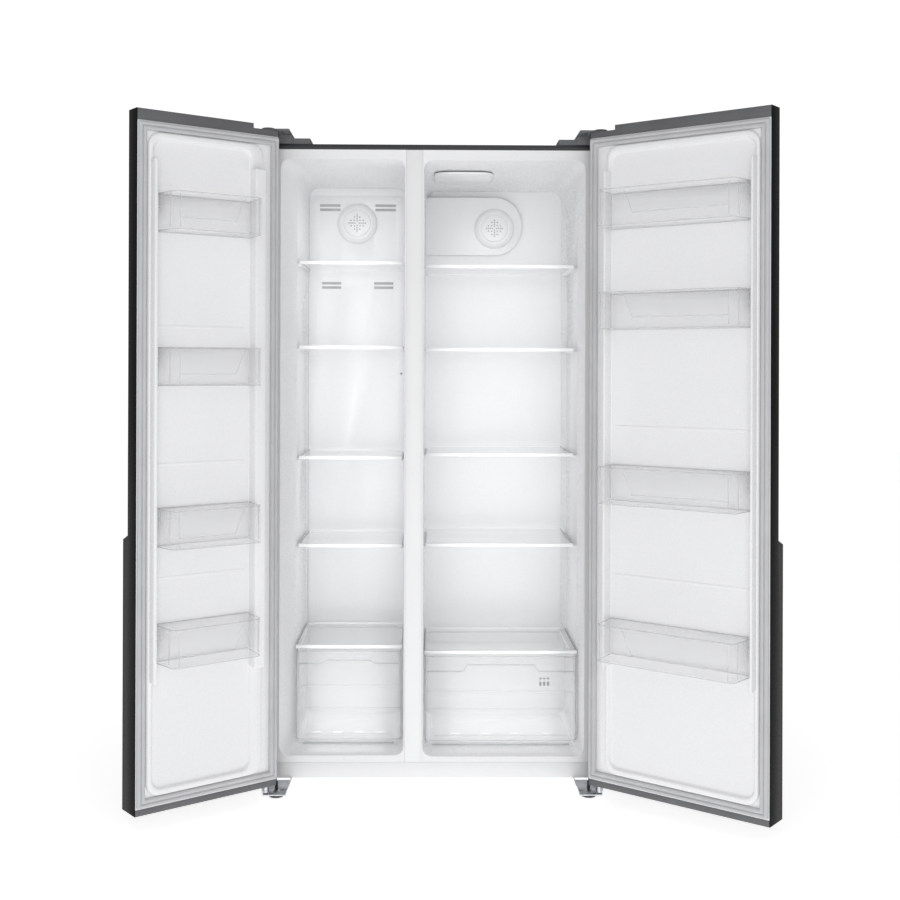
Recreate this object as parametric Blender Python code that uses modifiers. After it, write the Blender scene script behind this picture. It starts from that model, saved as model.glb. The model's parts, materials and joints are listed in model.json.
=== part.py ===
"""Side by side refrigerator with both doors standing open.

Metres, +Z up. X runs across the cabinet, +Y from the cabinet's front face to its back,
and the floor is Z = 0. Everything hangs from one empty, which puts the middle of the
footprint of the open refrigerator at X = Y = 0.
"""

import math

import bmesh
import bpy
from mathutils import Matrix, Vector

# ---------------------------------------------------------------- driving dimensions
CABINET_WIDTH = 0.910
CABINET_BACK = 0.5985  # rear face, from the front face at Y = 0
CABINET_TOP = 1.742
CABINET_BOTTOM = 0.044
GAP = 0.0003  # left between pieces that touch
SHEET = 0.0015  # steel of the wrap and the back
LINER_SHEET = 0.002
FOAM_GAP = 0.0005  # between a liner and the foam round it
TRIM_HEIGHT = 0.0138
TRIM_DEPTH = 0.018
RAIL_TOP = 0.0862
RAIL_DEPTH = 0.020
PAN_SHEET = 0.003
NICHE_FRONT = 0.450  # machine space at the bottom of the back
NICHE_TOP = 0.262

MULLION_LEFT = -0.0757
MULLION_RIGHT = -0.0313

DOOR_TOP = 1.778
DOOR_BOTTOM = 0.0455
DOOR_GAP = 0.011  # from the cabinet's front face to a closed door's back
DOOR_DEPTH = 0.0745
DOOR_SKIN = 0.0012
SPLIT = 0.006  # between the two closed doors
FREEZER_DOOR_WIDTH = 0.398
HINGE_INSET = 0.014  # hinge axis, in from the cabinet's side
HINGE_FORWARD = 0.044  # hinge axis, forward of the cabinet's front face
FREEZER_DOOR_OPEN = 142.8
FRIDGE_DOOR_OPEN = 141.6
CAP_TOP_HEIGHT = 0.0288
CAP_BOTTOM_HEIGHT = 0.0165
CAP_NOTCH_LENGTH = 0.075
CAP_NOTCH_DEPTH = 0.013
GRIP_DEPTH = 0.027
GRIP_WIDTH = 0.025
GRIP_BOTTOM = 0.722
GASKET_INSET = 0.003
GASKET_WIDTH = 0.022
GASKET_DEPTH = 0.0089
RIDGE_HEIGHT = 0.0102  # moulded frame round the inside of a door
RIB_HEIGHT = 0.036  # the two posts that the bins hang between
RIB_BOTTOM = 0.370
RIB_TOP = 1.655

PIN_RADIUS = 0.005
PIN_CLEARANCE = 0.0005
SHELF_FRONT = 0.105
COVER_FRONT = 0.080
SHELF_GLASS = 0.004
SHELF_EDGE_DEPTH = 0.012
RIB_FRONT = SHELF_FRONT + SHELF_EDGE_DEPTH + 0.0015
BIN_HEIGHT = 0.094
BIN_WALL = 0.0025
BIN_REACH = 0.105  # how far a bin stands into the cabinet from the door's back

FREEZER_SHELVES = (1.432, 1.198, 0.893, 0.650)
FRIDGE_SHELVES = (1.423, 1.193, 0.902, 0.652)
FREEZER_COVER = 0.376
FRIDGE_COVER = 0.361
FREEZER_BINS = (1.476, 1.098, 0.703, 0.418)
FRIDGE_BINS = (1.503, 1.243, 0.801, 0.402)

# sections of each food space, front to back: depth, left, right, bottom, top, corner
FREEZER_SPACE = (
    (0.000, -0.4119, -0.0785, 0.1040, 1.7030, 0.024),
    (0.006, -0.4090, -0.0797, 0.1062, 1.7003, 0.024),
    (0.095, -0.3830, -0.0822, 0.1126, 1.6915, 0.030),
    (0.105, -0.3795, -0.0825, 0.1130, 1.6910, 0.030),
    (0.405, -0.3795, -0.0825, 0.1130, 1.6880, 0.030),
    (0.418, -0.3795, -0.0825, 0.3000, 1.6878, 0.030),
    (0.525, -0.3780, -0.0840, 0.3010, 1.6860, 0.030),
)
FRIDGE_SPACE = (
    (0.000, -0.0285, 0.4054, 0.1010, 1.7010, 0.024),
    (0.006, -0.0273, 0.4030, 0.1032, 1.6985, 0.024),
    (0.095, -0.0262, 0.3990, 0.1086, 1.6905, 0.030),
    (0.105, -0.0262, 0.3985, 0.1090, 1.6900, 0.030),
    (0.405, -0.0262, 0.3985, 0.1090, 1.6860, 0.030),
    (0.418, -0.0262, 0.3985, 0.3000, 1.6858, 0.030),
    (0.500, -0.0245, 0.3925, 0.3010, 1.6840, 0.030),
)
ROLLER_RADIUS = 0.018
ROLLER_X = 0.400
ROLLER_Y = 0.560
FOOT_X = 0.417
FOOT_Y = -0.012
HINGE_PLATE = 0.003
HINGE_ARM_WIDTH = 0.046
HINGE_ARM_INSET = 0.0025  # from the cabinet's side
ARM_LOW = 1.7661
HINGE_COVER_TOP = 1.772
HINGE_COVER_WIDTH = 0.0715

FREEZER_SHELF_ENDS = (-0.3725, -0.0865)
FRIDGE_SHELF_ENDS = (-0.0222, 0.3870)
FREEZER_SHELF_BACK = 0.412
FRIDGE_SHELF_BACK = 0.455
COVER_BACK = 0.395
DRAWER_FRONT = 0.072
DRAWER_BACK = 0.395
FREEZER_FAN = (-0.2323, 1.5787)
FRIDGE_FAN = (0.1840, 1.5670)
FAN_CAP_RADIUS = 0.060

SIDE = CABINET_WIDTH / 2
INSIDE = SIDE - SHEET - GAP  # half width between the steel sides
FLANGE_TOP = CABINET_TOP - TRIM_HEIGHT - GAP
FLANGE_BOTTOM = RAIL_TOP + GAP
AXIS_X = SIDE - HINGE_INSET
AXIS_Y = -HINGE_FORWARD
FRIDGE_DOOR_WIDTH = CABINET_WIDTH - FREEZER_DOOR_WIDTH - SPLIT
DOOR_BACK = HINGE_FORWARD - DOOR_GAP  # a door's back face, from the hinge axis
DOOR_FRONT = DOOR_BACK - DOOR_DEPTH

# ---------------------------------------------------------------- a clean scene
for old in list(bpy.data.objects):
    bpy.data.objects.remove(old, do_unlink=True)

parts = bpy.data.collections.new("side_by_side_refrigerator")
cutters = bpy.data.collections.new("cutters")
bpy.context.scene.collection.children.link(parts)
bpy.context.scene.collection.children.link(cutters)


def material(name, colour, roughness, metallic=0.0, alpha=1.0):
    """A Principled material with one colour."""
    made = bpy.data.materials.new(name)
    made.use_nodes = True
    shader = made.node_tree.nodes["Principled BSDF"]
    shader.inputs["Base Color"].default_value = (*colour, 1.0)
    shader.inputs["Roughness"].default_value = roughness
    shader.inputs["Metallic"].default_value = metallic
    shader.inputs["Alpha"].default_value = alpha
    return made


WRAP_STEEL = material("grey_painted_steel", (0.15, 0.15, 0.16), 0.4)
BACK_STEEL = material("galvanised_steel", (0.50, 0.51, 0.52), 0.45, 0.8)
FOAM = material("foam", (0.85, 0.78, 0.55), 0.9)
WHITE = material("white_liner", (0.86, 0.87, 0.88), 0.25)
WHITE_TRIM = material("white_trim", (0.84, 0.85, 0.86), 0.3)
DARK_PLASTIC = material("dark_grey_plastic", (0.13, 0.135, 0.14), 0.45)
BLACK_SKIN = material("black_door_skin", (0.012, 0.012, 0.013), 0.15)
GASKET_GREY = material("grey_gasket", (0.47, 0.48, 0.50), 0.55)
GLASS = material("shelf_glass", (0.88, 0.93, 0.93), 0.05, 0.0, 0.35)
CLEAR = material("clear_plastic", (0.88, 0.91, 0.93), 0.08, 0.0, 0.35)
ZINC = material("zinc_plate", (0.72, 0.73, 0.75), 0.3, 1.0)
RUBBER = material("dark_foot", (0.04, 0.04, 0.045), 0.6)
COPPER = material("copper_tube", (0.72, 0.43, 0.30), 0.35, 1.0)
ALUMINIUM = material("aluminium_tube", (0.78, 0.79, 0.80), 0.35, 1.0)
MACHINE_BLACK = material("black_machine_paint", (0.02, 0.02, 0.022), 0.5)

root = bpy.data.objects.new("refrigerator", None)
parts.objects.link(root)


# ---------------------------------------------------------------- shaping tools
def place(name, mesh_or_bmesh, look, parent=root, at=(0, 0, 0), turn=(0, 0, 0)):
    """One named object; look None makes it a cutter."""
    if isinstance(mesh_or_bmesh, bmesh.types.BMesh):
        bmesh.ops.recalc_face_normals(mesh_or_bmesh, faces=mesh_or_bmesh.faces[:])
        data = bpy.data.meshes.new(name)
        mesh_or_bmesh.to_mesh(data)
        mesh_or_bmesh.free()
    else:
        data = mesh_or_bmesh
    made = bpy.data.objects.new(name, data)
    if look is None:
        cutters.objects.link(made)
        made.hide_render = True
        made.display_type = "WIRE"
    else:
        parts.objects.link(made)
        data.materials.append(look)
    made.parent = parent
    made.location = at
    made.rotation_euler = turn
    return made


def add_box(bm, low, high):
    """A box between two corners, into a bmesh."""
    low, high = Vector(low), Vector(high)
    size = high - low
    shape = Matrix.Translation((low + high) / 2) @ Matrix.Diagonal((*size, 1.0))
    bmesh.ops.create_cube(bm, size=1.0, matrix=shape)


def box(name, low, high, look, parent=root):
    """A box with its own origin at its middle."""
    middle = (Vector(low) + Vector(high)) / 2
    bm = bmesh.new()
    add_box(bm, Vector(low) - middle, Vector(high) - middle)
    return place(name, bm, look, parent, middle)


def boxes(name, corners, look, parent=root):
    """Several separate boxes in one mesh, for cutting or joining all at once."""
    bm = bmesh.new()
    for low, high in corners:
        add_box(bm, low, high)
    return place(name, bm, look, parent)


def cylinder(name, radius, low, high, look, parent=root, centre=(0, 0), steps=16):
    """An upright cylinder from height low to height high."""
    bm = bmesh.new()
    bmesh.ops.create_cone(
        bm, cap_ends=True, segments=steps, radius1=radius, radius2=radius, depth=high - low
    )
    return place(name, bm, look, parent, (*centre, (low + high) / 2))


def boolean(target, tool, operation="DIFFERENCE"):
    """One exact boolean, kept as a modifier."""
    made = target.modifiers.new(tool.name, "BOOLEAN")
    made.operation = operation
    made.solver = "EXACT"
    made.object = tool


def bevel(target, width, segments=2, angle=40):
    made = target.modifiers.new("edges", "BEVEL")
    made.width = width
    made.segments = segments
    made.limit_method = "ANGLE"
    made.angle_limit = math.radians(angle)
    return made


def rounded_outline(corners, steps=3):
    """A closed outline from (x, y, radius) corners, with an arc at each."""
    points = []
    for i, (x, y, radius) in enumerate(corners):
        corner = Vector((x, y))
        if radius == 0:
            points.append(corner)
            continue
        before = (Vector(corners[i - 1][:2]) - corner).normalized()
        after = (Vector(corners[(i + 1) % len(corners)][:2]) - corner).normalized()
        half = before.angle(after) / 2
        centre = corner + (before + after).normalized() * radius / math.sin(half)
        first = corner + before * radius / math.tan(half) - centre
        last = corner + after * radius / math.tan(half) - centre
        turn = math.atan2(first.cross(last), first.dot(last))
        for step in range(steps + 1):
            points.append(centre + Matrix.Rotation(turn * step / steps, 2) @ first)
    return points


def rectangle(left, right, low, high, radius, steps=3):
    corners = ((left, low), (right, low), (right, high), (left, high))
    return rounded_outline([(*corner, radius) for corner in corners], steps)


def upright_ring(outline, depth):
    """An outline stood up in the XZ plane at one depth Y."""
    return [Vector((x, depth, z)) for x, z in outline]


def level_ring(outline, height):
    """An outline laid in the XY plane at one height Z."""
    return [Vector((x, y, height)) for x, y in outline]


def loft(rings, closed=False):
    """Skin over rings of equal length, capped at both ends or closed on itself."""
    bm = bmesh.new()
    loops = [[bm.verts.new(point) for point in ring] for ring in rings]
    count = len(loops[0])
    pairs = list(zip(loops, loops[1:]))
    if closed:
        pairs.append((loops[-1], loops[0]))
    for near, far in pairs:
        for i in range(count):
            j = (i + 1) % count
            bm.faces.new((near[i], near[j], far[j], far[i]))
    if not closed:
        bm.faces.new(loops[0])
        bm.faces.new(loops[-1])
    return bm


def slab(name, outline, thickness, look, parent=root, at=(0, 0, 0), turn=(0, 0, 0)):
    """A flat outline as a filled curve, thickened about its own plane."""
    curve = bpy.data.curves.new(name, "CURVE")
    curve.dimensions = "2D"
    curve.fill_mode = "BOTH"
    curve.extrude = thickness / 2
    line = curve.splines.new("POLY")
    line.points.add(len(outline) - 1)
    for point, (x, y) in zip(line.points, outline):
        point.co = (x, y, 0, 1)
    line.use_cyclic_u = True
    return place(name, curve, look, parent, at, turn)


def meshed(curve_object, look):
    """A curve object turned into a welded mesh, so that booleans can use it."""
    name, parent = curve_object.name, curve_object.parent
    bpy.context.view_layer.update()
    graph = bpy.context.evaluated_depsgraph_get()
    data = bpy.data.meshes.new_from_object(curve_object.evaluated_get(graph))
    matrix = curve_object.matrix_local.copy()
    bpy.data.objects.remove(curve_object, do_unlink=True)
    bm = bmesh.new()
    bm.from_mesh(data)
    bpy.data.meshes.remove(data)
    bmesh.ops.remove_doubles(bm, verts=bm.verts[:], dist=0.00001)
    made = place(name, bm, look, parent)
    made.matrix_local = matrix
    return made


TURN_YZ = (math.pi / 2, 0, math.pi / 2)  # an outline's x, y become Y, Z, and it thickens along X
TURN_XZ = (math.pi / 2, 0, 0)  # an outline's x, y become X, Z, and it thickens along Y


def tube(name, points, radius, look, parent=root):
    """A round tube through straight runs."""
    curve = bpy.data.curves.new(name, "CURVE")
    curve.dimensions = "3D"
    curve.bevel_depth = radius
    curve.bevel_resolution = 2
    curve.use_fill_caps = True
    line = curve.splines.new("POLY")
    line.points.add(len(points) - 1)
    for point, place_at in zip(line.points, points):
        point.co = (*place_at, 1)
    return place(name, curve, look, parent)


def turned(name, profile, look, parent=root, at=(0, 0, 0), turn=(0, 0, 0), steps=24):
    """A profile of (radius, height) points, down the outside, spun round its own Z."""
    bm = bmesh.new()
    line = [bm.verts.new((radius, 0, height)) for radius, height in profile]
    for first, second in zip(line, line[1:]):
        bm.edges.new((first, second))
    data = bpy.data.meshes.new(name)
    bm.to_mesh(data)
    bm.free()
    made = place(name, data, look, parent, at, turn)
    screw = made.modifiers.new("turn", "SCREW")
    screw.steps = steps
    screw.render_steps = steps
    screw.use_merge_vertices = True
    screw.merge_threshold = 0.00002
    return made


# ---------------------------------------------------------------- food spaces
def space_rings(sections, grow=0.0):
    """The inner surface of a food space, front to back, moved outward by grow."""
    rings = []
    for depth, left, right, low, high, corner in sections:
        outline = rectangle(left - grow, right + grow, low - grow, high + grow, corner + grow)
        rings.append(upright_ring(outline, depth + grow))
    return rings


def space_cutter(name, sections):
    """The room that a liner takes up in the foam, run out through the front."""
    grow = LINER_SHEET + FOAM_GAP
    rings = space_rings(sections, grow)
    front = [point - Vector((0, 0.02, 0)) for point in rings[0]]
    return place(name, loft([front] + rings), None)


def liner(name, sections, flange_left, flange_right, shelf_heights, rib_left, rib_right):
    """A thin moulded tub with a flange round its mouth and ribs for its shelves."""
    flange = rectangle(flange_left, flange_right, FLANGE_BOTTOM, FLANGE_TOP, 0.0005)
    inner = space_rings(sections)
    outer = space_rings(sections, LINER_SHEET)
    rings = inner[::-1] + [upright_ring(flange, 0), upright_ring(flange, LINER_SHEET)] + outer
    made = place(name, loft(rings), WHITE)
    ribs = []
    for height in shelf_heights:
        for left, right in (rib_left, rib_right):
            ribs.append(((left, RIB_FRONT, height - 0.0075), (right, 0.390, height - GAP)))
    boolean(made, boxes(name + "_ribs", ribs, None), "UNION")
    return made


def shelf(name, ends, front, back, height, look=GLASS):
    """A glass plate with a deeper moulded front edge, its underside at one height."""
    outline = (
        (front, height - 0.0035),
        (front + SHELF_EDGE_DEPTH, height - 0.0035),
        (front + SHELF_EDGE_DEPTH, height),
        (back, height),
        (back, height + SHELF_GLASS),
        (front + SHELF_EDGE_DEPTH, height + SHELF_GLASS),
        (front + SHELF_EDGE_DEPTH, height + 0.006),
        (front, height + 0.006),
    )
    middle = (ends[0] + ends[1]) / 2
    local = [(y - front, z - height) for y, z in outline]
    return slab(name, local, ends[1] - ends[0], look, root, (middle, front, height), TURN_YZ)


def drawer(name, left, right, front, back, low, high):
    """A clear open tub, a little narrower at its floor."""
    wall = 0.0025
    middle = Vector(((left + right) / 2, front, low))
    half = (right - left) / 2
    depth = back - front

    def ring(shrink, height, corner):
        outline = rectangle(-half + shrink, half - shrink, shrink, depth - shrink, corner)
        return level_ring(outline, height)

    rings = (
        ring(0.0235, 0, 0.012),
        ring(0.0070, 0.009, 0.014),
        ring(0.0030, 0.021, 0.016),
        ring(0, high - low, 0.018),
        ring(wall, high - low, 0.0155),
        ring(0.0030 + wall, 0.021, 0.0135),
        ring(0.0070 + wall, 0.0105, 0.0115),
        ring(0.0235, wall, 0.0095),
    )
    return place(name, loft(rings), CLEAR, root, middle)


def fan_cap(name, centre, back):
    """A round cap, open behind, with a ring of air holes in its face."""
    x, z = centre
    profile = (
        (0, 0.020),
        (0.040, 0.020),
        (0.043, 0.017),
        (0.048, 0.017),
        (FAN_CAP_RADIUS, 0.006),
        (FAN_CAP_RADIUS, 0),
        (FAN_CAP_RADIUS - 0.0025, 0),
        (FAN_CAP_RADIUS - 0.0025, 0.0045),
        (0.047, 0.0145),
        (0.041, 0.0145),
        (0.038, 0.0175),
        (0, 0.0175),
    )
    made = turned(name, profile, WHITE_TRIM, root, (x, back, z), (math.pi / 2, 0, 0))
    bm = bmesh.new()
    for i in range(6):
        angle = math.radians(60 * i + 30)
        hole = Matrix.Translation((0.010 * math.cos(angle), 0.010 * math.sin(angle), 0.018))
        bmesh.ops.create_cone(
            bm, cap_ends=True, segments=8, radius1=0.0022, radius2=0.0022, depth=0.02, matrix=hole
        )
    holes = place(name + "_holes", bm, None, root, (x, back, z), (math.pi / 2, 0, 0))
    boolean(made, holes)
    return made


# ---------------------------------------------------------------- cabinet
def make_wrap():
    """Bent steel top and sides, with the deeper grey strip over the doors."""
    bm = bmesh.new()
    add_box(bm, (-SIDE, 0, CABINET_BOTTOM), (SIDE, CABINET_BACK, CABINET_TOP))
    open_sides = [f for f in bm.faces if abs(f.normal.y) > 0.5 or f.normal.z < -0.5]
    bmesh.ops.delete(bm, geom=open_sides, context="FACES")
    wrap = place("outer_wrap", bm, WRAP_STEEL)
    sheet = wrap.modifiers.new("sheet", "SOLIDIFY")
    sheet.thickness = SHEET
    sheet.offset = -1
    sheet.use_even_offset = True
    strip = box(
        "outer_wrap_strip",
        (-SIDE + SHEET / 2, 0, CABINET_TOP - TRIM_HEIGHT),
        (SIDE - SHEET / 2, TRIM_DEPTH, CABINET_TOP - SHEET / 2),
        None,
    )
    boolean(wrap, strip, "UNION")


def make_foam():
    foam_back = CABINET_BACK - SHEET - GAP
    foam = box(
        "insulation_foam",
        (-INSIDE, LINER_SHEET + GAP, CABINET_BOTTOM + PAN_SHEET + 0.001),
        (INSIDE, foam_back - GAP, CABINET_TOP - SHEET - GAP),
        FOAM,
    )
    wide = SIDE + 0.02
    outside = boxes(
        "foam_trims",
        (
            ((-wide, -0.01, 0), (wide, RAIL_DEPTH + GAP, FLANGE_BOTTOM)),
            ((-wide, -0.01, FLANGE_TOP), (wide, TRIM_DEPTH + GAP, CABINET_TOP + 0.01)),
            ((-wide, NICHE_FRONT, 0), (wide, CABINET_BACK + 0.01, NICHE_TOP)),
        ),
        None,
    )
    boolean(foam, outside)
    boolean(foam, space_cutter("freezer_room", FREEZER_SPACE))
    boolean(foam, space_cutter("fridge_room", FRIDGE_SPACE))


def make_base():
    box(
        "base_rail",
        (-INSIDE, 0, CABINET_BOTTOM),
        (INSIDE, RAIL_DEPTH, RAIL_TOP),
        WHITE_TRIM,
    )
    low = CABINET_BOTTOM + 0.0006
    pan = box(
        "base_pan",
        (-INSIDE, RAIL_DEPTH + 2 * GAP, low),
        (INSIDE, CABINET_BACK - SHEET - 2 * GAP, low + PAN_SHEET),
        BACK_STEEL,
    )
    ears = []
    for x in (-ROLLER_X, ROLLER_X):
        for side in (-1, 1):
            ear = x + side * 0.0125
            ears.append(((ear - 0.0015, 0.546, 0.008), (ear + 0.0015, 0.574, low + 0.001)))
    boolean(pan, boxes("roller_ears", ears, None), "UNION")
    bm = bmesh.new()
    for x in (-ROLLER_X, ROLLER_X):
        lie = Matrix.Translation((x, ROLLER_Y, ROLLER_RADIUS))
        lie = lie @ Matrix.Rotation(math.pi / 2, 4, "Y")
        bmesh.ops.create_cone(
            bm, cap_ends=True, segments=16, radius1=0.0040, radius2=0.0040, depth=0.05, matrix=lie
        )
    boolean(pan, place("axle_holes", bm, None))


def make_roller(name, x):
    profile = (
        (0, 0.0175),
        (0.0035, 0.0175),
        (0.0035, 0.008),
        (ROLLER_RADIUS - 0.001, 0.008),
        (ROLLER_RADIUS, 0.007),
        (ROLLER_RADIUS, -0.007),
        (ROLLER_RADIUS - 0.001, -0.008),
        (0.0035, -0.008),
        (0.0035, -0.0175),
        (0, -0.0175),
    )
    turned(name, profile, RUBBER, root, (x, ROLLER_Y, ROLLER_RADIUS), (0, math.pi / 2, 0))


def make_foot(name, x):
    profile = (
        (0, 0.0395),
        (0.0038, 0.0395),
        (0.0038, 0.0165),
        (0.0200, 0.0165),
        (0.0232, 0.0145),
        (0.0212, 0.0030),
        (0.0190, 0),
        (0, 0),
    )
    turned(name, profile, RUBBER, root, (x, FOOT_Y, 0))


def make_back():
    inner = CABINET_BACK - SHEET
    seam = NICHE_TOP + 0.008  # where the back panel meets the machine cover
    panel_top = CABINET_TOP - SHEET - GAP
    box("back_panel", (-INSIDE, inner, seam), (INSIDE, CABINET_BACK, panel_top), BACK_STEEL)
    low = CABINET_BOTTOM + PAN_SHEET + 0.001
    cover = box(
        "machine_cover", (-INSIDE, inner, low), (INSIDE, CABINET_BACK, seam - GAP), MACHINE_BLACK
    )
    slots = []
    pitch, half = 0.042, 0.005
    for number in range(-9, 10):
        x = pitch * number
        slots.append(((x - half, inner - 0.01, 0.10), (x + half, CABINET_BACK + 0.01, 0.21)))
    boolean(cover, boxes("machine_cover_slots", slots, None))


def make_machinery():
    x, y = 0.245, 0.523
    low = CABINET_BOTTOM + PAN_SHEET + 0.0010
    profile = (
        (0, 0.150),
        (0.035, 0.146),
        (0.055, 0.130),
        (0.062, 0.108),
        (0.062, 0.075),
        (0.064, 0.074),
        (0.064, 0.066),
        (0.062, 0.065),
        (0.062, 0.040),
        (0.052, 0.020),
        (0.030, 0.012),
        (0, 0.010),
    )
    compressor = turned("compressor", profile, MACHINE_BLACK, root, (x, y, low), steps=20)
    feet = [((-0.085, -0.045, 0.0090), (0.085, 0.045, 0.0130))]
    for side in (-1, 1):
        for depth in (-1, 1):
            feet.append(
                (
                    (side * 0.075 - 0.008, depth * 0.036 - 0.008, 0.0004),
                    (side * 0.075 + 0.008, depth * 0.036 + 0.008, 0.0092),
                )
            )
    plate = boxes("compressor_plate", feet[:1], None)
    plate.location = (x, y, low)
    boolean(compressor, plate, "UNION")
    mounts = boxes("compressor_mounts", feet[1:], None)
    mounts.location = (x, y, low)
    boolean(compressor, mounts, "UNION")

    runs = []
    for row in range(7):
        ends = (-0.400, 0.120) if row % 2 == 0 else (0.120, -0.400)
        for end in ends:
            runs.append((end, 0.500 + 0.045 * (row % 3 == 1), 0.070 + 0.024 * row))
    tube("condenser", runs, 0.0032, COPPER)

    runs = []
    for row in range(20):
        ends = (-0.345, -0.115) if row % 2 == 0 else (-0.115, -0.345)
        for end in ends:
            runs.append((end, 0.490, 0.820 + 0.028 * row))
    tube("evaporator", runs, 0.0042, ALUMINIUM)


def make_evaporator_cover():
    left, right, low, high = -0.3770, -0.0850, 0.310, 1.663
    outline = rectangle(left, right, low, high, 0.014)
    thickness = 0.0025
    rings = [upright_ring(outline, 0.450), upright_ring(outline, 0.450 + thickness)]
    cover = place("evaporator_cover", loft(rings), WHITE)
    slots = []
    twice_middle = left + right  # mirrors a slot to the other side
    for height, near, far in ((1.634, 0.345, 0.285), (1.398, 0.338, 0.282)):
        for row in range(2):
            z = height - 0.013 * row
            for start, end in ((-near, -far), (far + twice_middle, near + twice_middle)):
                slots.append(((start, 0.44, z - 0.0025), (end, 0.46, z + 0.0025)))
    boolean(cover, boxes("evaporator_cover_slots", slots, None))
    bm = bmesh.new()
    lie = Matrix.Translation((FREEZER_FAN[0], 0.45, FREEZER_FAN[1]))
    lie = lie @ Matrix.Rotation(math.pi / 2, 4, "X")
    bmesh.ops.create_cone(
        bm, cap_ends=True, segments=32, radius1=0.050, radius2=0.050, depth=0.04, matrix=lie
    )
    boolean(cover, place("evaporator_cover_mouth", bm, None))


def make_evaporator_fan():
    """A hub with five pitched blades, spinning on an axis along Y."""
    bm = bmesh.new()
    bmesh.ops.create_cone(bm, cap_ends=True, segments=16, radius1=0.014, radius2=0.014, depth=0.016)
    at = (FREEZER_FAN[0], 0.470, FREEZER_FAN[1])
    fan = place("evaporator_fan", bm, DARK_PLASTIC, root, at, (math.pi / 2, 0, 0))
    bm = bmesh.new()
    for i in range(5):
        blade = Matrix.Rotation(math.tau * i / 5, 4, "Z") @ Matrix.Translation((0.0285, 0, 0))
        blade = blade @ Matrix.Rotation(math.radians(32), 4, "X")
        blade = blade @ Matrix.Diagonal((0.033, 0.018, 0.0016, 1))
        bmesh.ops.create_cube(bm, size=1.0, matrix=blade)
    boolean(fan, place("fan_blades", bm, None, root, at, (math.pi / 2, 0, 0)), "UNION")


def make_duct_cover():
    """The white air duct cover in the fridge, round at its right end."""
    left, right, low, high = -0.0195, 0.2670, 1.487, 1.663
    front, back, wall = 0.4755, 0.4995, 0.0025

    def ring(shrink, depth):
        end = 0.080 - shrink
        corners = (
            (left + shrink, low + shrink, 0.004),
            (right - shrink, low + shrink, end),
            (right - shrink, high - shrink, end),
            (left + shrink, high - shrink, 0.004),
        )
        return upright_ring(rounded_outline(corners, 6), depth)

    rings = (ring(wall, front + wall), ring(wall, back), ring(0, back), ring(0, front))
    place("fridge_duct_cover", loft(rings), WHITE)


def make_lamp():
    lamp = box("fridge_lamp", (0.000, 0.110, 1.6798), (0.165, 0.330, 1.6862), WHITE_TRIM)
    bevel(lamp, 0.002)


# ---------------------------------------------------------------- hinges
def hinge_outline(grow=0.0):
    """The stepped side view of a top hinge: foot on the cabinet, arm over the door."""
    deck = CABINET_TOP + GAP
    return (
        (-0.058 - grow, ARM_LOW - grow),
        (0.012 - grow, ARM_LOW - grow),
        (0.012 - grow, deck - grow),
        (0.090 + grow, deck - grow),
        (0.090 + grow, deck + HINGE_PLATE + grow),
        (0.012 + HINGE_PLATE + grow, deck + HINGE_PLATE + grow),
        (0.012 + HINGE_PLATE + grow, ARM_LOW + HINGE_PLATE + grow),
        (-0.058 - grow, ARM_LOW + HINGE_PLATE + grow),
    )


def make_top_hinge(word, side):
    arm_at = (side * (SIDE - HINGE_ARM_INSET - HINGE_ARM_WIDTH / 2), 0, 0)
    arm = slab("top_hinge_" + word, hinge_outline(), HINGE_ARM_WIDTH, ZINC, root, arm_at, TURN_YZ)
    arm = meshed(arm, ZINC)
    axis = (side * AXIS_X, AXIS_Y)
    pin = cylinder("top_pin_" + word, PIN_RADIUS, 1.7525, ARM_LOW + 0.001, None, root, axis)
    boolean(arm, pin, "UNION")

    deck = CABINET_TOP + GAP
    body_low = ARM_LOW - GAP
    outline = (
        (-0.062, body_low),
        (0.001, body_low),
        (0.001, deck),
        (0.105, deck),
        (0.105, HINGE_COVER_TOP),
        (-0.062, HINGE_COVER_TOP),
    )
    width = HINGE_COVER_WIDTH
    at = (side * (SIDE - 0.0005 - width / 2), 0, 0)
    cover = slab("hinge_cover_" + word, outline, width, DARK_PLASTIC, root, at, TURN_YZ)
    cover = meshed(cover, DARK_PLASTIC)
    bevel(cover, 0.002)
    near, far = SIDE - 0.0005 - width + 0.002, SIDE - 0.0005 - width - 0.049
    tail = box(
        "cover_tail_" + word,
        (min(side * near, side * far), 0.004, deck),
        (max(side * near, side * far), 0.085, 1.758),
        None,
    )
    boolean(cover, tail, "UNION")
    play = 0.0004
    room_width = HINGE_ARM_WIDTH + 2 * play
    room = slab("hinge_room_" + word, hinge_outline(play), room_width, None, root, arm_at, TURN_YZ)
    boolean(cover, meshed(room, None))


def make_bottom_hinge(word, side):
    """A zinc channel under the cabinet's corner that carries the door's lower pin."""
    inner, outer = SIDE - 0.078, SIDE - 0.0025
    top, plate_top, plate_low = CABINET_BOTTOM - GAP, 0.0210, 0.0180
    outline = [
        (outer, top),
        (outer - 0.0045, plate_low),
        (inner + 0.0090, plate_low),
        (inner, top),
        (inner + 0.0032, top),
        (inner + 0.0112, plate_top),
        (outer - 0.0072, plate_top),
        (outer - 0.0032, top),
    ]
    outline = [(side * x, z) for x, z in outline]
    front, back = -0.066, 0.055
    at = (0, (front + back) / 2, 0)
    bracket = slab("bottom_hinge_" + word, outline, back - front, ZINC, root, at, TURN_XZ)
    bracket = meshed(bracket, ZINC)
    axis = (side * AXIS_X, AXIS_Y)
    stop = cylinder("stop_" + word, 0.0085, plate_low + 0.001, DOOR_BOTTOM - 0.001, None, root, axis)
    boolean(bracket, stop, "UNION")
    pin = cylinder("lower_pin_" + word, PIN_RADIUS, plate_low + 0.002, 0.0600, None, root, axis)
    boolean(bracket, pin, "UNION")
    hole = cylinder("foot_hole_" + word, 0.0045, 0, 0.030, None, root, (side * FOOT_X, FOOT_Y))
    boolean(bracket, hole)


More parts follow.
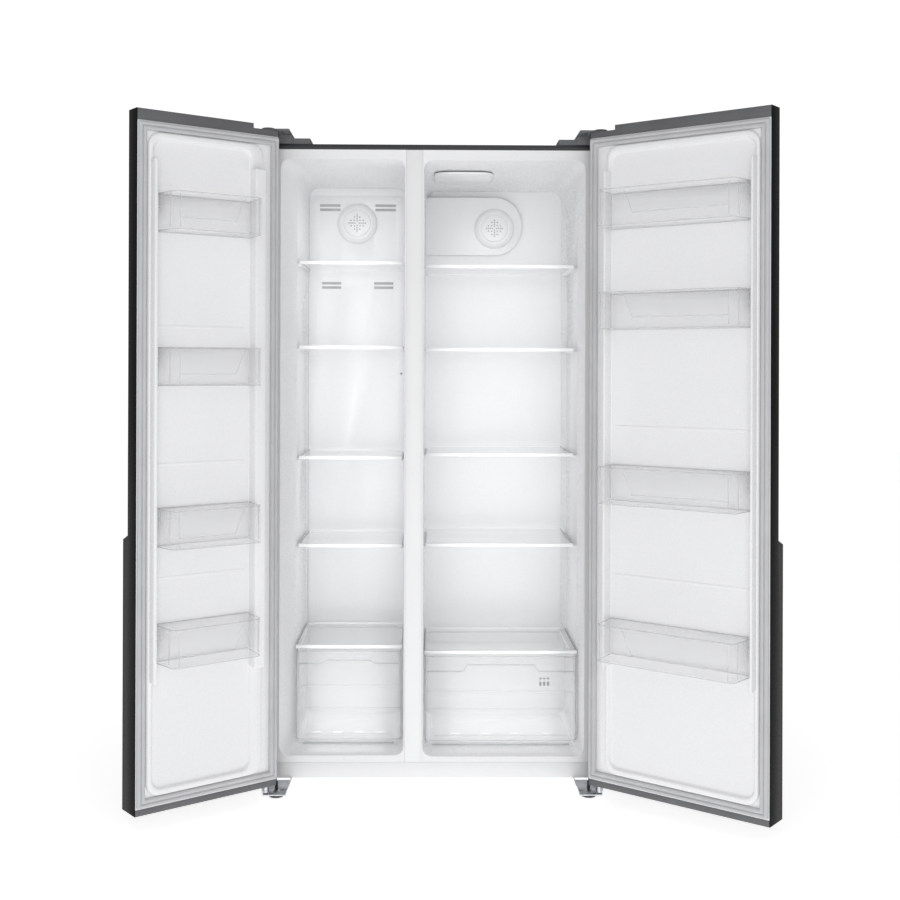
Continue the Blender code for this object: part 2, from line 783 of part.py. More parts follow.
# ---------------------------------------------------------------- doors
def make_door(word, side, width, opening, ridge, bins, bin_ends):
    """A door and its bins on the hinge axis; side -1 is the left door.

    Across the door, u runs from the hinge edge to the free edge. ridge holds the distances
    of the moulded ridge from the hinge edge and from the free edge, outside then inside.
    """
    axis = bpy.data.objects.new(word + "_door_axis", None)
    parts.objects.link(axis)
    axis.parent = root
    axis.location = (side * AXIS_X, AXIS_Y, 0)
    axis.rotation_euler = (0, 0, side * math.radians(opening))

    def across(u):
        return -side * (u - HINGE_INSET)

    def span(u_low, u_high):
        return sorted((across(u_low), across(u_high)))

    def door_box(name, us, depths, heights, look):
        left, right = span(*us)
        return box(name, (left, depths[0], heights[0]), (right, depths[1], heights[1]), look, axis)

    def grip_room(name, grow):
        """The finger channel down the front corner of the free edge, sloped at its lower end."""
        deep = DOOR_FRONT + GRIP_DEPTH + grow
        outline = (
            (DOOR_FRONT - 0.02, GRIP_BOTTOM - 0.016 - grow),
            (DOOR_FRONT, GRIP_BOTTOM - 0.006 - grow),
            (deep, GRIP_BOTTOM + 0.006 - grow),
            (deep, DOOR_TOP + 0.02),
            (DOOR_FRONT - 0.02, DOOR_TOP + 0.02),
        )
        reach = GRIP_WIDTH + grow + 0.02
        at = (across(width - GRIP_WIDTH - grow + reach / 2), 0, 0)
        return meshed(slab(name, outline, reach, None, axis, at, TURN_YZ), None)

    panel = door_box(
        word + "_door_panel",
        (0, width),
        (DOOR_FRONT, DOOR_BACK),
        (DOOR_BOTTOM, DOOR_TOP),
        BLACK_SKIN,
    )
    boolean(panel, grip_room(word + "_grip", 0))
    inside = door_box(
        word + "_panel_inside",
        (DOOR_SKIN, width - DOOR_SKIN),
        (DOOR_FRONT + DOOR_SKIN, DOOR_BACK + 0.02),
        (DOOR_BOTTOM - 0.02, DOOR_TOP + 0.02),
        None,
    )
    boolean(inside, grip_room(word + "_grip_wall", DOOR_SKIN))
    boolean(panel, inside)

    skin = DOOR_SKIN + GAP
    edges = (skin, width - skin)
    cap_room = grip_room(word + "_grip_clear", skin)
    cap_low = DOOR_TOP - CAP_TOP_HEIGHT
    top_cap = door_box(
        word + "_door_top_cap",
        edges,
        (DOOR_FRONT + skin, DOOR_BACK),
        (cap_low, DOOR_TOP - 0.0005),
        DARK_PLASTIC,
    )
    boolean(top_cap, cap_room)
    notch = door_box(
        word + "_cap_notch",
        (-0.02, CAP_NOTCH_LENGTH),
        (DOOR_FRONT - 0.02, DOOR_BACK + 0.02),
        (DOOR_TOP - CAP_NOTCH_DEPTH, DOOR_TOP + 0.02),
        None,
    )
    boolean(top_cap, notch)
    boolean(panel, notch)
    hole = PIN_RADIUS + PIN_CLEARANCE
    pin_room = cylinder(word + "_pin_room", hole, 0, DOOR_TOP + 0.02, None, axis)
    boolean(top_cap, pin_room)
    cap_high = DOOR_BOTTOM + CAP_BOTTOM_HEIGHT
    bottom_cap = door_box(
        word + "_door_bottom_cap",
        edges,
        (DOOR_FRONT + skin, DOOR_BACK),
        (DOOR_BOTTOM, cap_high),
        DARK_PLASTIC,
    )
    boolean(bottom_cap, pin_room)

    low, high = cap_high + GAP, cap_low - GAP
    core = door_box(
        word + "_door_core",
        edges,
        (DOOR_FRONT + skin, DOOR_BACK - LINER_SHEET - GAP),
        (low, high),
        FOAM,
    )
    boolean(core, cap_room)

    hinge_out, hinge_in, free_out, free_in = ridge

    def ring(hinge, free, inset, corner, depth, steps=4):
        left, right = span(hinge, width - free)
        outline = rectangle(left, right, low + inset, high - inset, corner, steps)
        return upright_ring(outline, DOOR_BACK + depth)

    rings = (
        ring(hinge_in + 0.002, free_in + 0.002, 0.062, 0.030, 0.0005 - LINER_SHEET),
        ring(skin, skin, 0, 0.0005, -LINER_SHEET),
        ring(skin, skin, 0, 0.0005, 0),
        ring(hinge_out, free_out, 0.026, 0.034, 0),
        ring(hinge_out + 0.004, free_out + 0.0035, 0.030, 0.032, RIDGE_HEIGHT),
        ring(hinge_in - 0.0040, free_in - 0.0040, 0.045, 0.030, RIDGE_HEIGHT),
        ring(hinge_in, free_in, 0.060, 0.030, 0.0025),
    )
    inner_skin = place(word + "_door_liner", loft(rings), WHITE, axis)
    posts = []
    hinge_post = (hinge_out + 0.006, hinge_in - 0.001)
    free_post = (width - free_in + 0.001, width - free_out - 0.0055)
    for near, far in (hinge_post, free_post):
        left, right = span(near, far)
        post_low = (left, DOOR_BACK + 0.0010, RIB_BOTTOM)
        posts.append((post_low, (right, DOOR_BACK + RIB_HEIGHT, RIB_TOP)))
    boolean(inner_skin, boxes(word + "_door_posts", posts, None, axis), "UNION")

    inset, wide = GASKET_INSET, GASKET_INSET + GASKET_WIDTH
    rings = (
        ring(inset, inset, inset, 0.004, GAP, 2),
        ring(inset, inset, inset, 0.004, GASKET_DEPTH, 2),
        ring(wide, wide, wide, 0.004, GASKET_DEPTH, 2),
        ring(wide, wide, wide, 0.004, GAP, 2),
    )
    place(word + "_door_gasket", loft(rings, closed=True), GASKET_GREY, axis)

    for number, height in enumerate(bins, 1):
        make_bin(f"{word}_bin_{number}", axis, across, width, height, bin_ends)


def make_bin(name, axis, across, width, low, ends):
    """An open clear bin, its ends drawing in towards its front."""
    hinge_back, hinge_front, free_back, free_front = ends
    back, front = DOOR_BACK + 0.0045, DOOR_BACK + BIN_REACH

    def ring(wall, height):
        corners = (
            (across(hinge_back + wall), back + wall, 0.003),
            (across(hinge_front + wall), front - wall, 0.016 - wall),
            (across(width - free_front - wall), front - wall, 0.016 - wall),
            (across(width - free_back - wall), back + wall, 0.003),
        )
        return level_ring(rounded_outline(corners), height)

    rings = (
        ring(0, 0),
        ring(0, BIN_HEIGHT),
        ring(BIN_WALL, BIN_HEIGHT),
        ring(BIN_WALL, BIN_WALL),
    )
    place(name, loft(rings), CLEAR, axis, (0, 0, low))


# ---------------------------------------------------------------- build
make_wrap()
make_foam()
liner(
    "freezer_liner",
    FREEZER_SPACE,
    -INSIDE,
    MULLION_LEFT - GAP,
    (*FREEZER_SHELVES, FREEZER_COVER),
    (-0.3805, -0.3690),
    (-0.0912, -0.0815),
)
liner(
    "fridge_liner",
    FRIDGE_SPACE,
    MULLION_RIGHT + GAP,
    INSIDE,
    (*FRIDGE_SHELVES, FRIDGE_COVER),
    (-0.0272, -0.0175),
    (0.3800, 0.3995),
)
box(
    "mullion_cover",
    (MULLION_LEFT, 0, FLANGE_BOTTOM),
    (MULLION_RIGHT, LINER_SHEET, FLANGE_TOP),
    WHITE_TRIM,
)
make_base()
make_back()
make_machinery()
make_evaporator_cover()
make_evaporator_fan()
fan_cap("freezer_fan_cap", FREEZER_FAN, 0.450 - GAP)
make_duct_cover()
fan_cap("fridge_fan_cap", FRIDGE_FAN, 0.4755 - GAP)
make_lamp()
for word, side in (("left", -1), ("right", 1)):
    make_top_hinge(word, side)
    make_bottom_hinge(word, side)
    make_foot("front_foot_" + word, side * FOOT_X)
    make_roller("rear_roller_" + word, side * ROLLER_X)

for number, height in enumerate(FREEZER_SHELVES, 1):
    name = f"freezer_shelf_{number}"
    shelf(name, FREEZER_SHELF_ENDS, SHELF_FRONT, FREEZER_SHELF_BACK, height)
for number, height in enumerate(FRIDGE_SHELVES, 1):
    name = f"fridge_shelf_{number}"
    shelf(name, FRIDGE_SHELF_ENDS, SHELF_FRONT, FRIDGE_SHELF_BACK, height)
shelf("freezer_drawer_cover", (-0.3765, -0.0855), COVER_FRONT, COVER_BACK, FREEZER_COVER)
shelf("crisper_cover", (-0.0232, 0.3955), COVER_FRONT, COVER_BACK, FRIDGE_COVER)
drawer("freezer_drawer", -0.3755, -0.0865, DRAWER_FRONT, DRAWER_BACK, 0.1140, 0.3680)
drawer("crisper_drawer", -0.0222, 0.3945, DRAWER_FRONT, DRAWER_BACK, 0.1100, 0.3530)

make_door(
    "freezer",
    -1,
    FREEZER_DOOR_WIDTH,
    FREEZER_DOOR_OPEN,
    (0.0500, 0.0885, 0.0265, 0.0425),
    FREEZER_BINS,
    (0.0905, 0.1060, 0.0445, 0.0500),
)
make_door(
    "fridge",
    1,
    FRIDGE_DOOR_WIDTH,
    FRIDGE_DOOR_OPEN,
    (0.0545, 0.0690, 0.0265, 0.0390),
    FRIDGE_BINS,
    (0.0710, 0.0840, 0.0410, 0.0455),
)


def centre_footprint():
    """Move the root so that the box round the open refrigerator is centred in X and Y."""
    bpy.context.view_layer.update()
    graph = bpy.context.evaluated_depsgraph_get()
    xs, ys = [], []
    for thing in parts.objects:
        if thing.type == "EMPTY":
            continue
        solid = thing.evaluated_get(graph)
        for vertex in solid.to_mesh().vertices:
            point = solid.matrix_world @ vertex.co
            xs.append(point.x)
            ys.append(point.y)
        solid.to_mesh_clear()
    root.location = (-(min(xs) + max(xs)) / 2, -(min(ys) + max(ys)) / 2, 0)


centre_footprint()
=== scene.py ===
# %% [markdown]
# # A side by side refrigerator with its doors open
# The real machine is a steel box filled with foam. Two white moulded tubs line it, one for the
# freezer and one for the fridge. Two foam-filled doors hang on pins at the outer corners.
# The CAD frame already holds every piece at its real size, so each finish and each finer shape
# here takes its place from that frame. All lengths are metres.

import json
import math

import bmesh
import bpy
from mathutils import Matrix, Vector

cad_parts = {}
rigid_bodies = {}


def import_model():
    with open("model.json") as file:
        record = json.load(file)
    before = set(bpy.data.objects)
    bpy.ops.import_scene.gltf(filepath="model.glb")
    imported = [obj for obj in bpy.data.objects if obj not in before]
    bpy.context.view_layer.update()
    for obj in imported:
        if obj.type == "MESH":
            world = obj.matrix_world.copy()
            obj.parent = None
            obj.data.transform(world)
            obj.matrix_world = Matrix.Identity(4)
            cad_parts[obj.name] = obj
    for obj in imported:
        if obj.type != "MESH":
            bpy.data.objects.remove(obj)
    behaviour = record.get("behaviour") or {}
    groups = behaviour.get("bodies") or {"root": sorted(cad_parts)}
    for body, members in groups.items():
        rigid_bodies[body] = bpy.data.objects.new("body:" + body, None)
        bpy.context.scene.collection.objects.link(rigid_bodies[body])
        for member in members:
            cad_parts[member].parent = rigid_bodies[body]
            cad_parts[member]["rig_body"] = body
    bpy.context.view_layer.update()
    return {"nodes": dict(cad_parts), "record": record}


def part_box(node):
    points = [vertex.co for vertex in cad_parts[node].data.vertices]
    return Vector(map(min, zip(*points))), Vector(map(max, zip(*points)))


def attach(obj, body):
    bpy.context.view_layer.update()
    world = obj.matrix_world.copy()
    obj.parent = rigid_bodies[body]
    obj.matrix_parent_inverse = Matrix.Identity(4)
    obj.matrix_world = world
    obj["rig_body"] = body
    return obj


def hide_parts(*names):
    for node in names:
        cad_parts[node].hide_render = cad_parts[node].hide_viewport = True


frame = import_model()

# %% [markdown]
# A fitter measures a refrigerator from the middle of its front face. The steel wrap gives both:
# its middle across, and its foremost edge. Everything below is said from there, X to the right
# and Y to the back, and `at` turns it into the frame's own place.

# %% Measure the cabinet
wrap_low, wrap_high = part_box("outer_wrap")
MIDDLE_X = (wrap_low.x + wrap_high.x) / 2
FRONT_Y = wrap_low.y
CABINET = Matrix.Translation((MIDDLE_X, FRONT_Y, 0))
SLOT_OF = {row["node"]: row["material_slot"] for row in frame["record"]["subparts"]}


def at(x, y, z):
    """A place in the frame, from one said in the cabinet's own measure."""
    return CABINET @ Vector((x, y, z))


def inside_box(node):
    """A CAD node's lowest and highest corner in the cabinet's own measure."""
    low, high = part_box(node)
    back = CABINET.inverted()
    return back @ low, back @ high


print("cabinet middle", round(MIDDLE_X, 4), "front", round(FRONT_Y, 4), "top", round(wrap_high.z, 4))

# %% [markdown]
# A door is easiest to build as if it lay shut: `u` runs from its hinge edge to its free edge,
# `e` stands up from its white inner face, and Z is height. One matrix then swings it open on
# its pin. The right door is the left one in a mirror, so its matrix flips `u`.

# %% Describe the two doors
PIN_X = 0.441
PIN_Y = -0.044
PIN_INSET = 0.014
DOOR_BACK = 0.033
DOORS = {
    "freezer": {
        "side": -1, "width": 0.398, "open": 142.8,
        "ridge": (0.050, 0.0885, 0.0265, 0.0425),
        "bin_ends": (0.0905, 0.106, 0.0445, 0.0500),
    },
    "fridge": {
        "side": 1, "width": 0.506, "open": 141.6,
        "ridge": (0.0545, 0.0690, 0.0265, 0.0390),
        "bin_ends": (0.0710, 0.084, 0.0410, 0.0455),
    },
}
for word, door in DOORS.items():
    side = door["side"]
    door["matrix"] = (
        Matrix.Translation(at(side * PIN_X, PIN_Y, 0))
        @ Matrix.Rotation(side * math.radians(door["open"]), 4, "Z")
        @ Matrix.Diagonal((-side, 1, 1, 1))
        @ Matrix.Translation((-PIN_INSET, DOOR_BACK, 0))
    )
    print(word, "free edge at", [round(v, 3) for v in door["matrix"] @ Vector((door["width"], 0, 1))])

# %% [markdown]
# The camera stands a little left of the middle at chest height, level, three and a half metres
# back, as for a catalogue picture. A 50 mm lens keeps the sides upright. A small shift places
# the cabinet in the frame without tilting the camera.

# %% Camera
EYE = at(-0.0104, -3.407, 1.151)
camera_data = bpy.data.cameras.new("catalogue_camera")
camera_data.lens = 50.8
camera_data.sensor_width = 36
camera_data.shift_x = 0.0058
camera_data.shift_y = -0.0964
camera = bpy.data.objects.new("catalogue_camera", camera_data)
bpy.context.scene.collection.objects.link(camera)
camera.location = EYE
camera.rotation_euler = (math.radians(90.08), math.radians(-0.18), math.radians(-0.66))
bpy.context.scene.camera = camera
print("camera at", [round(v, 3) for v in EYE])

# %% [markdown]
# White goods are shown on white. An even sky fills every hollow. One wide panel over the camera
# gives the soft light on the doors, a second one in front reaches into the food spaces, and a low
# one lifts the drawers. A slim lamp stands in the mouth of each food space, in place of the many
# bounces between real white walls, and a small one hangs over each drawer. The sky that the camera
# sees is brighter than the sky that lights, which keeps the background white. The floor is pale
# and glows a little, like a light table.

# %% Floor and light
scene = bpy.context.scene
scene.view_settings.view_transform = "Standard"
scene.cycles.transparent_max_bounces = 32
world = bpy.data.worlds.new("white_room")
scene.world = world
world.use_nodes = True
sky = world.node_tree.nodes["Background"]
sky.inputs["Color"].default_value = (1.0, 1.0, 1.0, 1.0)
ray_kind = world.node_tree.nodes.new("ShaderNodeLightPath")
strength = world.node_tree.nodes.new("ShaderNodeMapRange")
strength.inputs["To Min"].default_value = 0.39
strength.inputs["To Max"].default_value = 1.05
world.node_tree.links.new(ray_kind.outputs["Is Camera Ray"], strength.inputs["Value"])
world.node_tree.links.new(strength.outputs["Result"], sky.inputs["Strength"])


def soft_panel(name, place, aim, size, watts, spread=180):
    """A flat lamp at one place, facing another; size is its width and height."""
    lamp = bpy.data.lights.new(name, "AREA")
    lamp.shape = "RECTANGLE"
    lamp.size, lamp.size_y = size
    lamp.energy = watts
    lamp.spread = math.radians(spread)
    made = bpy.data.objects.new(name, lamp)
    scene.collection.objects.link(made)
    made.location = place
    made.rotation_euler = (Vector(aim) - Vector(place)).to_track_quat("-Z", "Y").to_euler()
    made.visible_camera = False
    return made


soft_panel("panel_over_camera", at(0, -3.8, 2.9), at(0, 0.2, 0.9), (2.4, 2.4), 20)
soft_panel("panel_in_front", at(0, -3.2, 1.1), at(0, 0.4, 0.9), (1.6, 1.6), 11)
soft_panel("low_panel", at(0, -1.9, 0.30), at(0, 0.1, 0.25), (1.4, 0.5), 1.5)
soft_panel("freezer_light", at(-0.235, 0.015, 0.86), at(-0.235, 0.5, 0.86), (0.20, 1.50), 0.64, 110)
soft_panel("fridge_light", at(0.188, 0.015, 0.86), at(0.188, 0.5, 0.86), (0.30, 1.50), 0.68, 110)

for name, x, z, width, watts in (
    ("drawer_light", -0.232, 0.3715, 0.25, 0.17), ("crisper_light", 0.186, 0.3570, 0.36, 0.30),
):
    soft_panel(name, at(x, 0.240, z), at(x, 0.2401, 0.1), (width, 0.26), watts)

floor_bm = bmesh.new()
bmesh.ops.create_grid(floor_bm, x_segments=1, y_segments=1, size=14)
floor_mesh = bpy.data.meshes.new("pale_floor")
floor_bm.to_mesh(floor_mesh)
floor_bm.free()
pale_floor = bpy.data.objects.new("pale_floor", floor_mesh)
scene.collection.objects.link(pale_floor)
pale_floor.location = (0, 0, -0.0005)

# %% [markdown]
# Every finish starts from the same few nodes. Real plastic and paint are never one flat colour:
# they drift slowly between two near tones, their gloss wanders, and a fine grain breaks up
# reflections. `finish` wires those three from one noise each, in the piece's own coordinates,
# and later cells only choose numbers.

# %% A helper for finishes


def node(tree, kind, **values):
    """A node with some of its inputs set."""
    made = tree.nodes.new(kind)
    for name, value in values.items():
        made.inputs[name.replace("_", " ")].default_value = value
    return made


def ramp_between(tree, source, low, high, near=0.35, far=0.65):
    """A number that runs from low to high while source runs from near to far."""
    made = node(tree, "ShaderNodeMapRange")
    made.inputs["From Min"].default_value = near
    made.inputs["From Max"].default_value = far
    made.inputs["To Min"].default_value = low
    made.inputs["To Max"].default_value = high
    tree.links.new(source, made.inputs["Value"])
    return made.outputs["Result"]


def finish(name, light, dark, gloss, drift=3.0, grain=900.0, relief=0.04, stretch=(1, 1, 1), metal=0.0):
    """A finish that drifts between two tones, with wandering gloss and a fine grain."""
    made = bpy.data.materials.new(name)
    made.use_nodes = True
    tree = made.node_tree
    shader = tree.nodes["Principled BSDF"]
    shader.inputs["Metallic"].default_value = metal
    place = node(tree, "ShaderNodeTexCoord")
    turn = node(tree, "ShaderNodeMapping", Scale=stretch)
    tree.links.new(place.outputs["Object"], turn.inputs["Vector"])
    slow = node(tree, "ShaderNodeTexNoise", Scale=drift, Detail=3.0)
    fine = node(tree, "ShaderNodeTexNoise", Scale=grain, Detail=2.0)
    for noise in (slow, fine):
        tree.links.new(turn.outputs["Vector"], noise.inputs["Vector"])
    tones = node(tree, "ShaderNodeValToRGB")
    tones.color_ramp.elements[0].position = 0.35
    tones.color_ramp.elements[0].color = (*dark, 1)
    tones.color_ramp.elements[1].position = 0.65
    tones.color_ramp.elements[1].color = (*light, 1)
    tree.links.new(slow.outputs["Fac"], tones.inputs["Fac"])
    tree.links.new(tones.outputs["Color"], shader.inputs["Base Color"])
    tree.links.new(ramp_between(tree, fine.outputs["Fac"], *gloss), shader.inputs["Roughness"])
    bump = node(tree, "ShaderNodeBump", Strength=relief, Distance=0.001)
    tree.links.new(fine.outputs["Fac"], bump.inputs["Height"])
    tree.links.new(bump.outputs["Normal"], shader.inputs["Normal"])
    return made


# %% [markdown]
# The tubs and the door linings are vacuum-formed white plastic: bright, a little cool, with a
# soft gloss. The front trims are moulded, so they are a shade smoother. The grey finishes are
# moulded caps with a fine spark grain, and the cabinet's steel is painted dark grey. The door
# skin is black and reflects very little, so its specular level is turned down.

# %% White and grey plastics, painted steel
LINING_WHITE = finish(
    "lining_white", (0.90, 0.905, 0.915), (0.875, 0.88, 0.89),
    (0.22, 0.34), 2.2, 420, 0.03,
)
TRIM_WHITE = finish(
    "trim_white", (0.90, 0.905, 0.91), (0.88, 0.885, 0.89),
    (0.26, 0.36), 5.0, 700, 0.03,
)
CAP_GREY = finish(
    "cap_grey", (0.140, 0.143, 0.150), (0.122, 0.124, 0.130),
    (0.42, 0.54), 9.0, 1500, 0.12,
)
WRAP_GREY = finish(
    "wrap_grey", (0.026, 0.028, 0.031), (0.021, 0.023, 0.026),
    (0.36, 0.48), 6.0, 1200, 0.10,
)
GASKET_GREY = finish(
    "gasket_grey", (0.58, 0.585, 0.60), (0.54, 0.545, 0.56),
    (0.45, 0.60), 14.0, 1100, 0.08,
)
DOOR_BLACK = finish(
    "door_black", (0.0120, 0.0120, 0.0126), (0.0108, 0.0108, 0.0114),
    (0.24, 0.30), 2.0, 500, 0.02,
)
DOOR_BLACK.node_tree.nodes["Principled BSDF"].inputs["Specular IOR Level"].default_value = 0.02
MACHINE_BLACK = finish(
    "machine_black", (0.026, 0.026, 0.028), (0.016, 0.016, 0.018),
    (0.40, 0.60), 20.0, 900, 0.20,
)
FOOT_BLACK = finish(
    "foot_black", (0.055, 0.055, 0.060), (0.035, 0.035, 0.040),
    (0.50, 0.70), 30.0, 1300, 0.18,
)
# The next two greys are painted shade: they stand in slots and holes, where an opening shows only shade.
SLOT_SHADE_GREY = finish(
    "slot_shade_grey", (0.50, 0.505, 0.51), (0.44, 0.445, 0.45),
    (0.6, 0.8), 30.0, 900, 0.05,
)
OPENING_SHADE_GREY = finish(
    "opening_shade_grey", (0.27, 0.275, 0.28), (0.22, 0.225, 0.23),
    (0.6, 0.8), 30.0, 900, 0.05,
)
FOAM_CREAM = finish(
    "foam_cream", (0.80, 0.72, 0.48), (0.70, 0.62, 0.40),
    (0.80, 0.95), 40.0, 600, 0.50,
)
FLOOR_PALE = finish(
    "floor_pale", (0.74, 0.74, 0.74), (0.72, 0.72, 0.72),
    (0.55, 0.65), 0.6, 60, 0.02,
)
glow = FLOOR_PALE.node_tree.nodes["Principled BSDF"]
glow.inputs["Emission Color"].default_value = (1.0, 1.0, 1.0, 1.0)
glow.inputs["Emission Strength"].default_value = 0.72
pale_floor.data.materials.append(FLOOR_PALE)
print("twelve finishes")

# %% [markdown]
# Bare metals need direction. Rolled zinc plate shows faint drawn lines, so its noise is squeezed
# along one axis. Galvanised sheet shows spangle, which is a cell pattern. Copper and aluminium
# tube are drawn along their length.

# %% Metals
ZINC = finish(
    "zinc_plate_look", (0.78, 0.79, 0.81), (0.62, 0.63, 0.66),
    (0.22, 0.36), 30.0, 500, 0.06, (1, 8, 1), 1.0,
)
COPPER = finish(
    "copper_look", (0.80, 0.46, 0.30), (0.62, 0.33, 0.21),
    (0.25, 0.45), 18.0, 400, 0.05, (1, 6, 6), 1.0,
)
ALUMINIUM = finish(
    "aluminium_look", (0.80, 0.81, 0.83), (0.68, 0.69, 0.71),
    (0.30, 0.45), 18.0, 400, 0.05, (1, 6, 6), 1.0,
)
SPANGLE = finish(
    "spangle_look", (0.60, 0.61, 0.63), (0.53, 0.54, 0.56),
    (0.34, 0.50), 24.0, 700, 0.05, (1, 1, 1), 0.85,
)
spangle_tree = SPANGLE.node_tree
cells = node(spangle_tree, "ShaderNodeTexVoronoi", Scale=130.0)
spangle_tree.links.new(spangle_tree.nodes["Mapping"].outputs["Vector"], cells.inputs["Vector"])
spangle_tree.links.new(cells.outputs["Distance"], spangle_tree.nodes["Color Ramp"].inputs["Fac"])
print("four metals")

# %% [markdown]
# Shelf glass and clear bins are thin walls that bend almost no light, so they are made as a film
# that lets most light straight through. Seen flat on, the film is faint; seen edge on, it takes on
# its own tone, as a real wall does. A Layer Weight node drives that share. Two darker films draw
# the rims and cut edges, where a real wall gathers light and shade.

# %% Clear plastic and glass


def clear_film(name, light, dark, flat_share, edge_share, gloss, grain):
    """A see-through finish that thickens towards its edges."""
    made = finish(name, light, dark, gloss, 6.0, grain, 0.02)
    tree = made.node_tree
    shader = tree.nodes["Principled BSDF"]
    shader.inputs["IOR"].default_value = 1.5
    facing = node(tree, "ShaderNodeLayerWeight", Blend=0.35)
    share = ramp_between(tree, facing.outputs["Facing"], flat_share, edge_share, 0.40, 1.00)
    tree.links.new(share, shader.inputs["Alpha"])
    return made


BIN_CLEAR = clear_film(
    "bin_clear", (0.92, 0.925, 0.935), (0.88, 0.885, 0.895),
    0.05, 0.42, (0.05, 0.14), 300,
)
DRAWER_CLEAR = clear_film(
    "drawer_clear", (0.96, 0.965, 0.97), (0.94, 0.945, 0.95),
    0.20, 0.62, (0.05, 0.14), 300,
)
SHELF_CLEAR = clear_film(
    "shelf_clear", (0.94, 0.95, 0.95), (0.91, 0.92, 0.92),
    0.05, 0.30, (0.03, 0.07), 200,
)
SHELF_EDGE = finish(
    "shelf_edge", (0.93, 0.935, 0.94), (0.91, 0.915, 0.92),
    (0.18, 0.28), 5.0, 700, 0.02,
)
WALL_EDGE = clear_film(
    "wall_edge", (0.77, 0.775, 0.79), (0.70, 0.705, 0.72),
    0.36, 0.74, (0.05, 0.14), 300,
)
GLASS_EDGE = clear_film(
    "glass_edge", (0.50, 0.53, 0.53), (0.42, 0.45, 0.45),
    0.45, 0.85, (0.05, 0.10), 200,
)
print("five clear finishes")

# %% [markdown]
# Each new piece is a bmesh that operators have shaped. `piece` swings it to its place, turns its
# faces outwards, shades its soft corners smooth, gives it its finish, and lets it ride on its CAD
# body. `replaces` hides the plain CAD solid that it stands for. An open sheet gets its thickness
# from Solidify, behind its faces, so they must look outwards first.

# %% Helpers that make pieces


def put_cube(bm, low, high):
    """A box between two corners; returns its vertices."""
    low, high = Vector(low), Vector(high)
    stretch = Matrix.Diagonal((*(high - low), 1))
    made = bmesh.ops.create_cube(bm, size=1, matrix=Matrix.Translation((low + high) / 2) @ stretch)
    return made["verts"]


def round_edges(bm, edges, width, segments=3):
    """Rounds some edges."""
    return bmesh.ops.bevel(
        bm, geom=edges, offset=width, offset_type="OFFSET", segments=segments, profile=0.5,
        affect="EDGES", clamp_overlap=True, material=-1,
    )


def sharp_edges(bm, angle=30):
    """The edges where two faces meet at more than an angle."""
    limit = math.radians(angle)
    return [edge for edge in bm.edges if edge.is_manifold and edge.calc_face_angle() > limit]


def spun(bm, profile, steps=72):
    """A profile of (radius, height) points spun once round Z."""
    verts = [bm.verts.new((radius, 0, height)) for radius, height in profile]
    edges = [bm.edges.new(pair) for pair in zip(verts, verts[1:])]
    bmesh.ops.spin(
        bm, geom=verts + edges, cent=(0, 0, 0), axis=(0, 0, 1), dvec=(0, 0, 0),
        angle=math.tau, steps=steps, use_merge=True, use_duplicate=False,
    )
    bmesh.ops.remove_doubles(bm, verts=bm.verts[:], dist=0.00001)


def piece(name, bm, look, slot, body, matrix=CABINET, replaces=(), wall=0.0, facing=None, smooth=38):
    """A finished piece from a bmesh; wall thickens an open sheet behind its faces."""
    bm.transform(matrix)
    bmesh.ops.recalc_face_normals(bm, faces=bm.faces[:])
    if facing is not None:
        total = sum((face.normal * face.calc_area() for face in bm.faces), Vector())
        if total.dot(facing) < 0:
            bmesh.ops.reverse_faces(bm, faces=bm.faces[:])
    elif wall:
        middle = sum((vert.co for vert in bm.verts), Vector()) / len(bm.verts)
        outwards = sum(
            (face.calc_center_median() - middle).dot(face.normal) * face.calc_area()
            for face in bm.faces
        )
        if outwards < 0:
            bmesh.ops.reverse_faces(bm, faces=bm.faces[:])
    mesh = bpy.data.meshes.new(name)
    bm.to_mesh(mesh)
    bm.free()
    mesh.shade_smooth()
    mesh.set_sharp_from_angle(angle=math.radians(smooth))
    mesh.materials.append(look)
    made = bpy.data.objects.new(name, mesh)
    scene.collection.objects.link(made)
    if wall:
        thick = made.modifiers.new("wall", "SOLIDIFY")
        thick.thickness = wall
        thick.offset = -1
        thick.use_even_offset = True
    if replaces:
        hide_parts(*replaces)
    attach(made, body)
    return made


def refined(node_name, look, rounding=0.0, segments=2, smooth=38):
    """A CAD node's own shape, welded, with its edges rounded and its corners shaded smooth."""
    source = frame["nodes"][node_name]
    bm = bmesh.new()
    bm.from_mesh(source.data)
    bmesh.ops.remove_doubles(bm, verts=bm.verts[:], dist=0.00001)
    bmesh.ops.dissolve_limit(bm, angle_limit=math.radians(0.5), verts=bm.verts[:], edges=bm.edges[:])
    if rounding:
        round_edges(bm, sharp_edges(bm, 50), rounding, segments)
    return piece(
        node_name + "_finished", bm, look, SLOT_OF[node_name], source["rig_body"],
        Matrix.Identity(4), (node_name,), smooth=smooth,
    )


# %% [markdown]
# The cabinet's own shapes are right in the CAD, so they are welded copies: sharp sheet edges get a
# fine rounding that catches a line of light, and the moulded corners of the tubs are shaded smooth.

